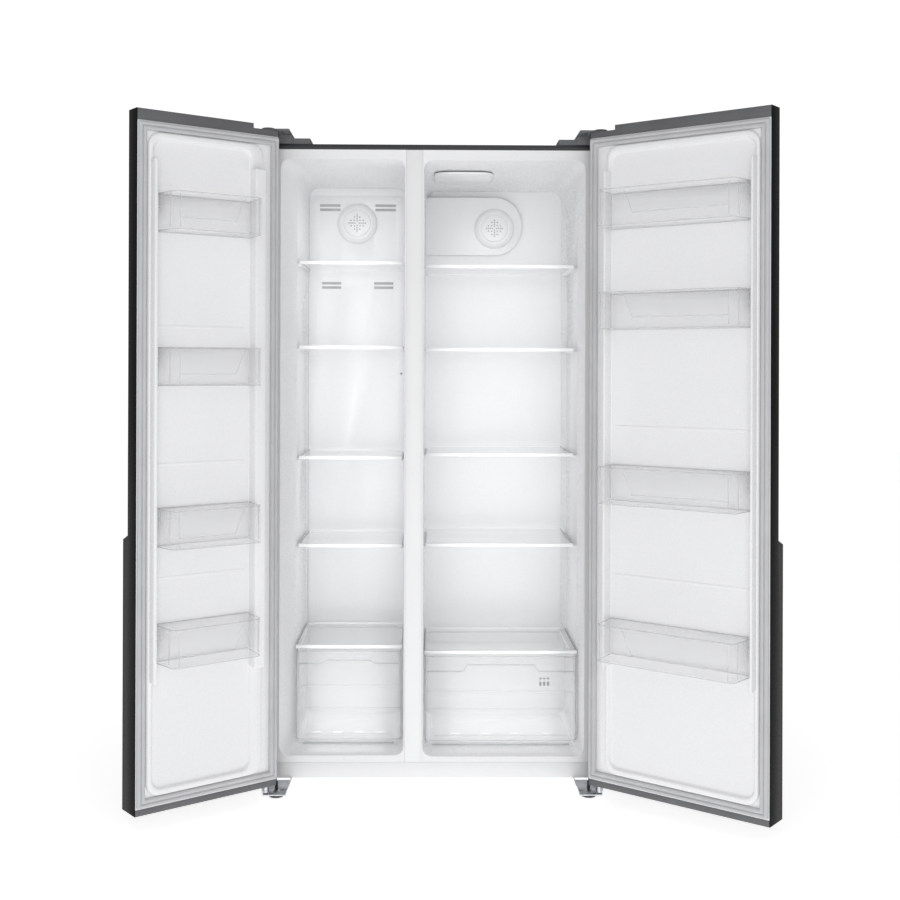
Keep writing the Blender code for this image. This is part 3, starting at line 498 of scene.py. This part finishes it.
# %% Cabinet, caps and machinery
for name, look, rounding in (
    ("outer_wrap", WRAP_GREY, 0.0004),
    ("freezer_liner", LINING_WHITE, 0),
    ("fridge_liner", LINING_WHITE, 0),
    ("mullion_cover", TRIM_WHITE, 0.0006),
    ("base_rail", TRIM_WHITE, 0.0015),
    ("evaporator_cover", LINING_WHITE, 0.0006),
    ("fridge_duct_cover", LINING_WHITE, 0.0008),
    ("back_panel", SPANGLE, 0.0004),
    ("base_pan", SPANGLE, 0.0004),
    ("machine_cover", MACHINE_BLACK, 0.0004),
    ("compressor", MACHINE_BLACK, 0),
    ("condenser", COPPER, 0),
    ("evaporator", ALUMINIUM, 0),
    ("evaporator_fan", CAP_GREY, 0),
    ("rear_roller_left", FOOT_BLACK, 0),
    ("rear_roller_right", FOOT_BLACK, 0),
    ("top_hinge_left", ZINC, 0.0004),
    ("top_hinge_right", ZINC, 0.0004),
    ("bottom_hinge_left", ZINC, 0.0005),
    ("bottom_hinge_right", ZINC, 0.0005),
    ("hinge_cover_left", CAP_GREY, 0.0006),
    ("hinge_cover_right", CAP_GREY, 0.0006),
):
    made = refined(name, look, rounding)
    print(name, len(made.data.polygons), "faces")

for name in ("insulation_foam", "freezer_door_core", "fridge_door_core"):
    hidden = frame["nodes"][name]
    hidden.data.materials.clear()
    hidden.data.materials.append(FOAM_CREAM)

# %% [markdown]
# A door is a black steel skin wrapped round foam, closed at both ends by grey caps. The skin's
# bent edges are tight, so they get less than a millimetre of rounding.

# %% Door skins and caps
for word in DOORS:
    refined(f"{word}_door_panel", DOOR_BLACK, 0.0005)
    refined(f"{word}_door_top_cap", CAP_GREY, 0.0012)
    refined(f"{word}_door_bottom_cap", CAP_GREY, 0.0012)

# %% [markdown]
# The white lining of a door is drawn as a row of rounded rectangles, each a little further in and
# a little higher than the last. Bridged together they form the soft ridge that runs round the
# lining, and the shallow tray inside it. Every rectangle has the same number of points, so the
# corners stay clean.

# %% Rounded rectangles and the skin between them
LINING_LOW = 0.0623
LINING_HIGH = 1.7489
EDGE = 0.0015


def rounded_loop(bm, sides, corner, depth, steps=8):
    """The corners of a rounded rectangle, in order: sides are left, right, low and high."""
    left, right, low, high = sides
    verts = []
    middles = (
        (right - corner, high - corner), (left + corner, high - corner),
        (left + corner, low + corner), (right - corner, low + corner),
    )
    for quarter, (u, z) in enumerate(middles):
        for step in range(steps + 1):
            angle = math.radians(90 * (quarter + step / steps))
            reach_u, reach_z = corner * math.cos(angle), corner * math.sin(angle)
            verts.append(bm.verts.new((u + reach_u, depth, z + reach_z)))
    return verts


def shrunk(sides, by):
    """The same sides, moved in."""
    left, right, low, high = sides
    return (left + by, right - by, low + by, high - by)


def profile_loops(bm, sides, corner, profile, smallest=0.0015):
    """One loop for each (inwards, height) point of a profile."""
    return [
        rounded_loop(bm, shrunk(sides, inwards), max(corner - inwards, smallest), height)
        for inwards, height in profile
    ]


def bridge(bm, loops):
    """Skins each loop to the next with four-sided faces."""
    for near, far in zip(loops, loops[1:]):
        for corners in zip(near, near[1:] + near[:1], far[1:] + far[:1], far):
            bm.faces.new(corners)


# %% Door linings with their ridge
RISE = ((0, 0), (0.0004, 0.0028), (0.0010, 0.0056), (0.0020, 0.0078), (0.0034, 0.0093), (0.0054, 0.0101))
FALL = (
    (0, 0.0101), (0.0014, 0.0096), (0.0030, 0.0082), (0.0044, 0.0060), (0.0058, 0.0042),
    (0.0078, 0.0030), (0.0100, 0.0026),
)
LINING_WALL = 0.0018
for word, door in DOORS.items():
    hinge_out, hinge_in, free_out, free_in = door["ridge"]
    width = door["width"]
    bm = bmesh.new()
    outer = (hinge_out, width - free_out, LINING_LOW + 0.026, LINING_HIGH - 0.026)
    inner = (hinge_in - 0.006, width - free_in + 0.006, LINING_LOW + 0.040, LINING_HIGH - 0.040)
    loops = [rounded_loop(bm, (EDGE, width - EDGE, LINING_LOW, LINING_HIGH), 0.0015, 0)]
    loops += profile_loops(bm, outer, 0.034, RISE) + profile_loops(bm, inner, 0.030, FALL)
    bridge(bm, loops)
    bm.faces.new(loops[-1])
    made = piece(
        f"{word}_door_lining", bm, LINING_WHITE, "white_liner", f"{word}_door", door["matrix"],
        (f"{word}_door_liner",), wall=LINING_WALL,
        facing=door["matrix"].to_3x3() @ Vector((0, 1, 0)), smooth=50,
    )
    print(made.name, len(made.data.polygons), "faces")

# %% [markdown]
# Two upright posts stand on each lining. The bins hang between them. They are moulded with the
# lining, so their edges are generously round.

# %% Bin posts
POST_LOW = 0.370
POST_HIGH = 1.655
POST_STAND = 0.036
for word, door in DOORS.items():
    hinge_out, hinge_in, free_out, free_in = door["ridge"]
    width = door["width"]
    spans = {
        "hinge": (hinge_out + 0.006, hinge_in - 0.001),
        "free": (width - free_in + 0.001, width - free_out - 0.0055),
    }
    for edge_name, (near, far) in spans.items():
        bm = bmesh.new()
        put_cube(bm, (near, 0.001, POST_LOW), (far, POST_STAND, POST_HIGH))
        round_edges(bm, sharp_edges(bm), min(0.0045, (far - near) * 0.4), 4)
        piece(
            f"{word}_post_{edge_name}", bm, LINING_WHITE, "white_liner", f"{word}_door",
            door["matrix"], smooth=50,
        )
print("four posts")

# %% [markdown]
# A few shallow beads cross each lining between its posts. They stiffen the thin sheet, and on a
# real door they show only as faint lines.

# %% Stiffening beads
TRAY_LEVEL = 0.0022
BEAD_HALF = 0.0035
for word, heights in (("freezer", (1.244, 0.903, 0.622)), ("fridge", (0.993, 0.609))):
    door = DOORS[word]
    _, hinge_in, _, free_in = door["ridge"]
    bm = bmesh.new()
    for height in heights:
        start, end = hinge_in + 0.012, door["width"] - free_in - 0.012
        bead_low = (start, TRAY_LEVEL - 0.002, height - BEAD_HALF)
        put_cube(bm, bead_low, (end, TRAY_LEVEL + 0.0012, height + BEAD_HALF))
    round_edges(bm, sharp_edges(bm), 0.0011, 3)
    piece(
        f"{word}_lining_beads", bm, LINING_WHITE, "white_liner", f"{word}_door",
        door["matrix"], smooth=60,
    )
print("five beads")

# %% [markdown]
# The gasket is a soft extrusion with two rolls and a folded groove between them. Its profile goes
# up one roll, down into the groove, over the second roll and back down to the foot.

# %% Door gaskets
ROLLS = (
    (0, 0.0003), (0.0003, 0.0043), (0.0010, 0.0068), (0.0022, 0.0080), (0.0044, 0.0086),
    (0.0084, 0.0086), (0.0092, 0.0074), (0.0098, 0.0058), (0.0108, 0.0058), (0.0114, 0.0074),
    (0.0122, 0.0086),
    (0.0178, 0.0086), (0.0198, 0.0076), (0.0210, 0.0056), (0.0220, 0.0003),
)
for word, door in DOORS.items():
    bm = bmesh.new()
    outer = (0.003, door["width"] - 0.003, LINING_LOW + 0.003, LINING_HIGH - 0.003)
    loops = profile_loops(bm, outer, 0.004, ROLLS)
    bridge(bm, loops + loops[:1])
    made = piece(
        f"{word}_gasket_rolls", bm, GASKET_GREY, "grey_gasket", f"{word}_door", door["matrix"],
        (f"{word}_door_gasket",), smooth=60,
    )
    print(made.name, len(made.data.polygons), "faces")

# %% [markdown]
# Bins and drawers are thin clear tubs, open above. A box with its lid taken off gives the shell:
# its uprights are rounded first and its foot after, so the corners meet smoothly. A bin's front is
# narrower than its back, so the box can be drawn in at each end. A low band round the same walls
# makes a rim.

# %% Helpers for clear tubs


def prism(bm, outline, lift):
    """A thin plate from an outline, thickened by a vector."""
    face = bm.faces.new([bm.verts.new(point) for point in outline])
    made = bmesh.ops.extrude_face_region(bm, geom=[face])
    verts = [item for item in made["geom"] if isinstance(item, bmesh.types.BMVert)]
    bmesh.ops.translate(bm, verts=verts, vec=lift)


def drawn_in_box(bm, low, high, front_in):
    """A box with its +e side drawn in at each end; returns its vertices."""
    verts = put_cube(bm, low, high)
    for vert in verts:
        if vert.co.y > (low[1] + high[1]) / 2:
            vert.co.x += front_in[0] if vert.co.x < (low[0] + high[0]) / 2 else -front_in[1]
    return verts


def uprights(bm, verts, middle, tall_edges):
    """A box's upright edges: all of them, or only those beyond its middle depth."""
    return [
        edge for edge in bm.edges
        if edge.verts[0] in verts and abs(edge.verts[0].co.z - edge.verts[1].co.z) > 0.0005
        and (tall_edges == "all" or edge.verts[0].co.y > middle)
    ]


def open_tub(low, high, front_in, corner, foot, tall_edges="front"):
    """An open box with rounded uprights and a rounded foot."""
    bm = bmesh.new()
    verts = drawn_in_box(bm, low, high, front_in)
    lid = [face for face in bm.faces if face.normal.z > 0.5]
    bmesh.ops.delete(bm, geom=lid, context="FACES")
    round_edges(bm, uprights(bm, verts, (low[1] + high[1]) / 2, tall_edges), corner, 6)
    base = [
        edge for edge in bm.edges
        if max(vert.co.z for vert in edge.verts) < low[2] + 0.0001 and edge.is_manifold
    ]
    round_edges(bm, base, foot, 3)
    return bm


def wall_band(bm, low, high, front_in, corner, tall_edges="front"):
    """A low band that follows a tub's upright walls, open above and below."""
    before = set(bm.faces)
    verts = drawn_in_box(bm, low, high, front_in)
    made = [face for face in bm.faces if face not in before]
    rounded = uprights(bm, verts, (low[1] + high[1]) / 2, tall_edges)
    bmesh.ops.delete(bm, geom=[face for face in made if abs(face.normal.z) > 0.5], context="FACES")
    round_edges(bm, rounded, corner, 6)


# %% [markdown]
# A door bin is one clear moulding. Its rims are thicker than its walls. Two short upright strips of
# the darker film in each end are painted shade: they draw the lines where the rounded corners catch
# light and shade.

# %% Helpers for the bins
BIN_HEIGHT = 0.094
BIN_FRONT = 0.105
BIN_FOOT = 0.0045
BIN_CORNER = 0.016
BIN_WALL = 0.0022
BIN_RIM_WALL = 0.0026


def bin_box(door, z):
    """A bin's lowest and highest corner, and how far its front is drawn in at each end."""
    hinge_back, hinge_front, free_back, free_front = door["bin_ends"]
    low = (hinge_back, BIN_FOOT, z)
    high = (door["width"] - free_back, BIN_FRONT, z + BIN_HEIGHT)
    return low, high, (hinge_front - hinge_back, free_front - free_back)


def bin_shell(door, z):
    """The walls and floor of a bin."""
    low, high, drawn_in = bin_box(door, z)
    return open_tub(low, high, drawn_in, BIN_CORNER, 0.005)


def bin_rims(door, z):
    """The bands round a bin's foot and mouth."""
    low, high, drawn_in = bin_box(door, z)
    bm = bmesh.new()
    for foot, head in ((0.0, 0.0018), (BIN_HEIGHT - 0.0022, BIN_HEIGHT)):
        band_high = (high[0], high[1], z + head)
        wall_band(bm, (low[0], low[1], z + foot), band_high, drawn_in, BIN_CORNER)
    return bm


def bin_end_shade_strips(door, z):
    """Two short upright strips of painted shade in each end of a bin."""
    low, high, drawn_in = bin_box(door, z)
    bm = bmesh.new()
    for depth in (0.014, 0.080):
        share = (depth - BIN_FOOT) / (BIN_FRONT - BIN_FOOT)
        near = low[0] + share * drawn_in[0]
        far = high[0] - share * drawn_in[1]
        for u in (near + 0.0004, far - 0.0030):
            top = z + BIN_HEIGHT - 0.003
            put_cube(bm, (u, depth, z + 0.006), (u + 0.0026, depth + 0.0030, top))
    round_edges(bm, sharp_edges(bm), 0.0009, 2)
    return bm


print("bins draw in by", [bin_box(door, 0)[2] for door in DOORS.values()])

# %% [markdown]
# On a bin's front, a thin raised panel runs along the lower part and climbs at the hinge end. A
# fine contour line follows its edge.

# %% The raised front of a bin


def front_span(door):
    """Where a bin's raised front starts, where it climbs, and where it ends."""
    _, hinge_front, _, free_front = door["bin_ends"]
    start, end = hinge_front + 0.014, door["width"] - free_front - 0.014
    return start, start + 0.20 * (end - start), end


def bin_panel(door, z):
    """The thin raised panel."""
    start, climb, end = front_span(door)
    outline = (
        (start, 0.004), (end, 0.004), (end, 0.030),
        (climb + 0.020, 0.028), (climb, 0.092), (start, 0.092),
    )
    bm = bmesh.new()
    prism(bm, [(u, BIN_FRONT + 0.0001, z + rise) for u, rise in outline], (0, 0.0010, 0))
    round_edges(bm, sharp_edges(bm), 0.0004, 2)
    return bm


def bin_contour(door, z):
    """The fine line along the panel's edge, and an upright line at its far end."""
    _, climb, end = front_span(door)
    contour = ((climb - 0.004, 0.088), (climb + 0.020, 0.030), (end, 0.030))
    bm = bmesh.new()
    for (u_start, z_start), (u_end, z_end) in zip(contour, contour[1:]):
        strip = (
            (u_start, z_start), (u_end, z_end),
            (u_end, z_end - 0.0020), (u_start - 0.0020, z_start - 0.0020),
        )
        prism(bm, [(u, BIN_FRONT + 0.0012, z + rise) for u, rise in strip], (0, 0.0006, 0))
    line_high = (end, BIN_FRONT + 0.0016, z + BIN_HEIGHT - 0.008)
    put_cube(bm, (end - 0.0015, BIN_FRONT + 0.0002, z + 0.006), line_high)
    return bm


# %% Door bins
for word, door in DOORS.items():
    for number in range(1, 5):
        node_name = f"{word}_bin_{number}"
        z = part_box(node_name)[0].z
        shell_look = {"wall": BIN_WALL, "smooth": 45}
        for part, bm, look, more in (
            ("shell", bin_shell(door, z), BIN_CLEAR, shell_look | {"replaces": (node_name,)}),
            ("rims", bin_rims(door, z), WALL_EDGE, {"wall": BIN_RIM_WALL, "smooth": 45}),
            ("end_shade_strips", bin_end_shade_strips(door, z), WALL_EDGE, {}),
            ("panel", bin_panel(door, z), BIN_CLEAR, {}),
            ("contour", bin_contour(door, z), WALL_EDGE, {}),
        ):
            piece(f"{node_name}_{part}", bm, look, "clear_plastic", node_name, door["matrix"], **more)
print("eight bins, five pieces each")

# %% [markdown]
# A shelf is a sheet of glass in a white moulded front edge. The edge is a bar with round corners,
# and a slimmer one closes the back. Thin strips darken the glass's cut sides. The covers over the
# two drawers are made the same way.

# %% Shelves and drawer covers
shelf_nodes = [f"{room}_shelf_{number}" for room in ("freezer", "fridge") for number in range(1, 5)]
for node_name in (*shelf_nodes, "freezer_drawer_cover", "crisper_cover"):
    low, high = inside_box(node_name)
    top = low.z + 0.0075
    bm = bmesh.new()
    put_cube(bm, (low.x, low.y + 0.008, top - 0.004), (high.x, high.y - 0.002, top))
    round_edges(bm, sharp_edges(bm), 0.0007, 2)
    piece(f"{node_name}_glass", bm, SHELF_CLEAR, "shelf_glass", node_name, replaces=(node_name,))
    bm = bmesh.new()
    put_cube(bm, (low.x, low.y, low.z), (high.x, low.y + 0.012, high.z))
    round_edges(bm, sharp_edges(bm), 0.0022, 3)
    put_cube(bm, (low.x, high.y - 0.006, top - 0.0038), (high.x, high.y, top + 0.0012))
    piece(f"{node_name}_edges", bm, SHELF_EDGE, "white_trim", node_name)
    bm = bmesh.new()
    for x in (low.x - 0.0002, high.x - 0.0012):
        put_cube(bm, (x, low.y + 0.012, top - 0.0042), (x + 0.0014, high.y - 0.006, top + 0.0002))
    piece(f"{node_name}_sides", bm, GLASS_EDGE, "shelf_glass", node_name)
print(len(shelf_nodes) + 2, "shelves and covers")

# %% [markdown]
# The drawers are deep clear tubs with round lower corners. A fine line crosses the front below the
# rim and steps up in the middle to mark the grip. Thin strips at the corners and the foot darken
# the cut edges, and four small ticks lie low on the front.

# %% Helpers for the drawers
DRAWER_CORNER = 0.018
DRAWER_WALL = 0.0024
DRAWER_RIM_WALL = 0.0028
GRIP_DEPTHS = {"freezer_drawer": (0.0330, 0.0250), "crisper_drawer": (0.0400, 0.0220)}


def grip_line(low, high, depths):
    """The line across a drawer's front; depths are its height at the ends and at the grip."""
    across = high.x - low.x
    line, raised = high.z - depths[0], high.z - depths[1]
    grip = (low.x + 0.25 * across, low.x + 0.75 * across)
    points = (
        (low.x + 0.006, line), (grip[0], line), (grip[0] + 0.012, raised),
        (grip[1] - 0.012, raised), (grip[1], line), (high.x - 0.006, line),
    )
    bm = bmesh.new()
    for (x_start, z_start), (x_end, z_end) in zip(points, points[1:]):
        strip = (
            (x_start, z_start), (x_end, z_end), (x_end, z_end - 0.0022), (x_start, z_start - 0.0022),
        )
        prism(bm, [(x, low.y - 0.0002, z) for x, z in strip], (0, -0.0016, 0))
    return bm


def drawer_rims(low, high):
    """The bands round a drawer's foot and mouth."""
    bm = bmesh.new()
    for foot, head in ((0.012, 0.0135), (high.z - low.z - 0.0024, high.z - low.z)):
        band_low = (low.x, low.y, low.z + foot)
        wall_band(bm, band_low, (high.x, high.y, low.z + head), (0, 0), DRAWER_CORNER, "all")
    return bm


def front_beads(low, high):
    """Two fine beads across a drawer's front, one high and one low."""
    left, right = low.x + 0.006, high.x - 0.006
    bm = bmesh.new()
    put_cube(bm, (left, low.y - 0.0010, high.z - 0.096), (right, low.y, high.z - 0.0940))
    low_bead = (left + 0.020, low.y - 0.0010, low.z + 0.026)
    put_cube(bm, low_bead, (right - 0.020, low.y, low.z + 0.0275))
    return bm


def corner_lines(low, high):
    """Thin strips up a drawer's front corners and along its foot."""
    bm = bmesh.new()
    for x in (low.x - 0.0001, high.x - 0.0011):
        strip_high = (x + 0.0012, low.y + 0.024, high.z - 0.004)
        put_cube(bm, (x, low.y + 0.014, low.z + 0.022), strip_high)
    foot_low = (low.x + 0.020, low.y + 0.004, low.z - 0.0001)
    put_cube(bm, foot_low, (high.x - 0.020, low.y + 0.007, low.z + 0.0012))
    return bm


def floor_ticks(low, high):
    """Four small white ticks low on a drawer's front."""
    bm = bmesh.new()
    for step in range(1, 5):
        x = low.x + 0.2 * step * (high.x - low.x)
        tick_low = (x - 0.012, low.y + 0.0034, low.z + 0.0300)
        put_cube(bm, tick_low, (x + 0.012, low.y + 0.0046, low.z + 0.0325))
    round_edges(bm, sharp_edges(bm), 0.0004, 2)
    return bm


# %% Drawers
for node_name, depths in GRIP_DEPTHS.items():
    low, high = inside_box(node_name)
    tub = open_tub(low, high, (0, 0), DRAWER_CORNER, 0.012, "all")
    for part, bm, look, more in (
        ("tub", tub, DRAWER_CLEAR, {"wall": DRAWER_WALL, "smooth": 45, "replaces": (node_name,)}),
        ("grip_line", grip_line(low, high, depths), GLASS_EDGE, {}),
        ("rims", drawer_rims(low, high), WALL_EDGE, {"wall": DRAWER_RIM_WALL, "smooth": 45}),
        ("front_beads", front_beads(low, high), WALL_EDGE, {}),
        ("corner_lines", corner_lines(low, high), GLASS_EDGE, {}),
        ("floor_ticks", floor_ticks(low, high), SHELF_EDGE, {}),
    ):
        piece(f"{node_name}_{part}", bm, look, "clear_plastic", node_name, **more)
print("two drawers, six pieces each")

# %% [markdown]
# The crisper has a small vent at the right of its front: six short slots in two rows, which let
# moist air out. The slots are not cut: each is a grey box on the front, painted shade that makes it
# read as an opening.

# %% Crisper vent
low, high = inside_box("crisper_drawer")
bm = bmesh.new()
for column in range(3):
    x = high.x - 0.1030 + 0.0105 * column
    for bottom, top in ((0.0690, 0.0800), (0.0575, 0.0625)):
        put_cube(bm, (x, low.y - 0.0024, high.z - top), (x + 0.0052, low.y - 0.0006, high.z - bottom))
round_edges(bm, sharp_edges(bm), 0.0006, 2)
piece("crisper_vent_slot_shade", bm, OPENING_SHADE_GREY, "white_trim", "crisper_drawer")
print("six vent slots")

# %% [markdown]
# The freezer's back cover comes in two plates that meet in a fine line a little above the middle.
# One small screw holds them near the right end of the line.

# %% Seam and screw in the freezer's back
low, high = inside_box("evaporator_cover")
SEAM_HEIGHT = 1.112
bm = bmesh.new()
seam_low = (low.x + 0.002, low.y - 0.0006, SEAM_HEIGHT - 0.0010)
put_cube(bm, seam_low, (high.x - 0.002, low.y + 0.0004, SEAM_HEIGHT + 0.0010))
piece("freezer_back_seam", bm, LINING_WHITE, "white_liner", "cabinet")
bm = bmesh.new()
spun(bm, ((0.0001, 0.0024), (0.0030, 0.0022), (0.0046, 0.0014), (0.0052, 0.0)), 24)
screw_stand = CABINET @ Matrix.Translation((high.x - 0.013, low.y, SEAM_HEIGHT + 0.012))
screw_stand = screw_stand @ Matrix.Rotation(math.radians(90), 4, "X")
outwards = Vector((0, -1, 0))
piece("freezer_back_screw", bm, ZINC, "zinc_plate", "cabinet", screw_stand, facing=outwards)
# The small grey disc on the screw's head is painted shade for its drive recess.
bm = bmesh.new()
spun(bm, ((0.0001, 0.0027), (0.0026, 0.0026), (0.0028, 0.0018)), 16)
piece(
    "freezer_back_screw_recess_shade", bm, OPENING_SHADE_GREY, "zinc_plate", "cabinet", screw_stand, facing=outwards,
)
print("seam and screw")

# %% [markdown]
# The cover doesn't quite reach the tub's walls. A thin white lip behind its edge closes the step.
# A grey plate stands behind each air slot: painted shade that gives the slot its grey look and hides
# the cold coil.

# %% Lip and painted slot shade behind the freezer's back cover
LIP_OUTSIDE = (-0.3787, -0.0833, 0.3020, 1.6868)
LIP_INSIDE = (-0.3700, -0.0910, 0.3200, 1.6550)
bm = bmesh.new()
lip_loops = [
    rounded_loop(bm, LIP_OUTSIDE, 0.029, 0.4524), rounded_loop(bm, LIP_OUTSIDE, 0.029, 0.4512),
    rounded_loop(bm, LIP_INSIDE, 0.012, 0.4512), rounded_loop(bm, LIP_INSIDE, 0.012, 0.4524),
]
bridge(bm, lip_loops + lip_loops[:1])
piece("freezer_back_lip", bm, LINING_WHITE, "white_liner", "cabinet")
bm = bmesh.new()
for height, near, far in ((1.634, 0.346, 0.284), (1.398, 0.339, 0.281)):
    for start, end in ((-near, -far), (far - 0.462, near - 0.462)):
        for row in (0, 0.013):
            put_cube(bm, (start, 0.4495, height - row - 0.0037), (end, 0.4520, height - row + 0.0037))
piece("freezer_back_slot_shade", bm, SLOT_SHADE_GREY, "white_trim", "cabinet")
low, high = inside_box("fridge_duct_cover")
bm = bmesh.new()
lip_low = (low.x - 0.0048, low.y + 0.0010, low.z + 0.002)
put_cube(bm, lip_low, (low.x + 0.0010, low.y + 0.0030, high.z - 0.002))
piece("fridge_duct_lip", bm, LINING_WHITE, "white_liner", "cabinet")
print("two lips and eight grilles")

# %% [markdown]
# The fridge's lamp is a flat white lens in the ceiling, round at its right end.

# %% Ceiling lamp
low, high = inside_box("fridge_lamp")
LENS_SIDES = (low.x, high.x, low.y, high.y)
lie_flat = CABINET @ Matrix(((1, 0, 0, 0), (0, 0, 1, 0), (0, 1, 0, 0), (0, 0, 0, 1)))
bm = bmesh.new()
lens_loops = [
    rounded_loop(bm, shrunk(LENS_SIDES, inwards), 0.045 - inwards, height)
    for inwards, height in (
        (0, high.z), (0, low.z + 0.0030), (0.0012, low.z + 0.0010), (0.0040, low.z),
    )
]
bridge(bm, lens_loops)
bm.faces.new(lens_loops[0])
bm.faces.new(lens_loops[-1])
piece(
    "fridge_lamp_lens", bm, TRIM_WHITE, SLOT_OF["fridge_lamp"], "cabinet", lie_flat, ("fridge_lamp",),
    smooth=50,
)
print("one lens")

# %% [markdown]
# The round fan caps are turned: one profile, spun once round its axis. A star of small holes lets
# the air through. The holes are not cut: each is a small grey disc that lies a hair proud of the cap,
# painted shade in place of an opening.

# %% Fan caps
CAP_PROFILE = (
    (0.0002, 0.0200), (0.0385, 0.0200), (0.0394, 0.0196), (0.0400, 0.0180), (0.0408, 0.0152),
    (0.0460, 0.0148), (0.0475, 0.0143), (0.0560, 0.0088), (0.0592, 0.0058), (0.0600, 0.0044),
    (0.0600, 0.0002),
)
HOLE = 0.0019
HOLE_PLACES = (
    (0, 0.0065), (0, 0.0125), (0, 0.0185), (0, 0.0245), (24, 0.0200), (66, 0.0200), (45, 0.0120),
)
for room in ("freezer", "fridge"):
    low, high = inside_box(f"{room}_fan_cap")
    stand = CABINET @ Matrix.Translation(((low.x + high.x) / 2, high.y, (low.z + high.z) / 2))
    stand = stand @ Matrix.Rotation(math.radians(90), 4, "X")
    bm = bmesh.new()
    spun(bm, CAP_PROFILE)
    piece(
        f"{room}_fan_dome", bm, TRIM_WHITE, "white_trim", "cabinet", stand, (f"{room}_fan_cap",),
        facing=Vector((0, -1, 0)), smooth=30,
    )
    bm = bmesh.new()
    for arm in range(4):
        for turn, reach in HOLE_PLACES:
            angle = math.radians(90 * arm + turn)
            spot = Matrix.Translation((reach * math.cos(angle), reach * math.sin(angle), 0.0200))
            bmesh.ops.create_cone(
                bm, cap_ends=True, segments=16, radius1=HOLE, radius2=HOLE, depth=0.0004, matrix=spot,
            )
    piece(f"{room}_fan_hole_shade", bm, OPENING_SHADE_GREY, "white_trim", "cabinet", stand)
print("two fan caps")

# %% [markdown]
# Each hinge cover rises in a low round dome over its pin, and one screw holds the cover to the
# cabinet's top behind it.

# %% Domes and screws of the hinge covers
DOME_PROFILE = (
    (0.0001, 0.0054), (0.0130, 0.0052), (0.0165, 0.0045), (0.0185, 0.0030), (0.0192, 0.0012),
    (0.0194, -0.0010),
)
SCREW_PROFILE = ((0.0001, 0.0020), (0.0024, 0.0018), (0.0036, 0.0010), (0.0040, -0.0004))
for word, side in (("left", -1), ("right", 1)):
    body = frame["nodes"][f"hinge_cover_{word}"]["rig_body"]
    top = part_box(f"hinge_cover_{word}")[1].z
    bm = bmesh.new()
    spun(bm, DOME_PROFILE, 48)
    stand = CABINET @ Matrix.Translation((side * PIN_X, -0.036, top))
    piece(f"hinge_dome_{word}", bm, CAP_GREY, "dark_grey_plastic", body, stand, smooth=60)
    bm = bmesh.new()
    spun(bm, SCREW_PROFILE, 24)
    stand = CABINET @ Matrix.Translation((side * (PIN_X - 0.012), 0.078, top))
    piece(f"hinge_cover_screw_{word}", bm, ZINC, "zinc_plate", body, stand, smooth=60)
print("two domes and two screws")

# %% [markdown]
# The front feet are turned nylon: a flared pad and a threaded stem that goes up into the hinge
# bracket.

# %% Front feet
FOOT_PROFILE = (
    (0.0001, 0.0), (0.0180, 0.0), (0.0190, 0.0006), (0.0208, 0.0028), (0.0212, 0.0034),
    (0.0218, 0.0060), (0.0214, 0.0064), (0.0214, 0.0070), (0.0222, 0.0076), (0.0230, 0.0130),
    (0.0232, 0.0145), (0.0228, 0.0156), (0.0205, 0.0165), (0.0060, 0.0168), (0.0040, 0.0172),
    (0.0038, 0.0395), (0.0001, 0.0395),
)
for side in ("left", "right"):
    low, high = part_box(f"front_foot_{side}")
    bm = bmesh.new()
    spun(bm, FOOT_PROFILE, 40)
    stand = Matrix.Translation(((low.x + high.x) / 2, (low.y + high.y) / 2, low.z))
    piece(
        f"front_foot_{side}_turned", bm, FOOT_BLACK, "dark_foot", f"front_foot_{side}", stand,
        (f"front_foot_{side}",), smooth=30,
    )
print("two feet")
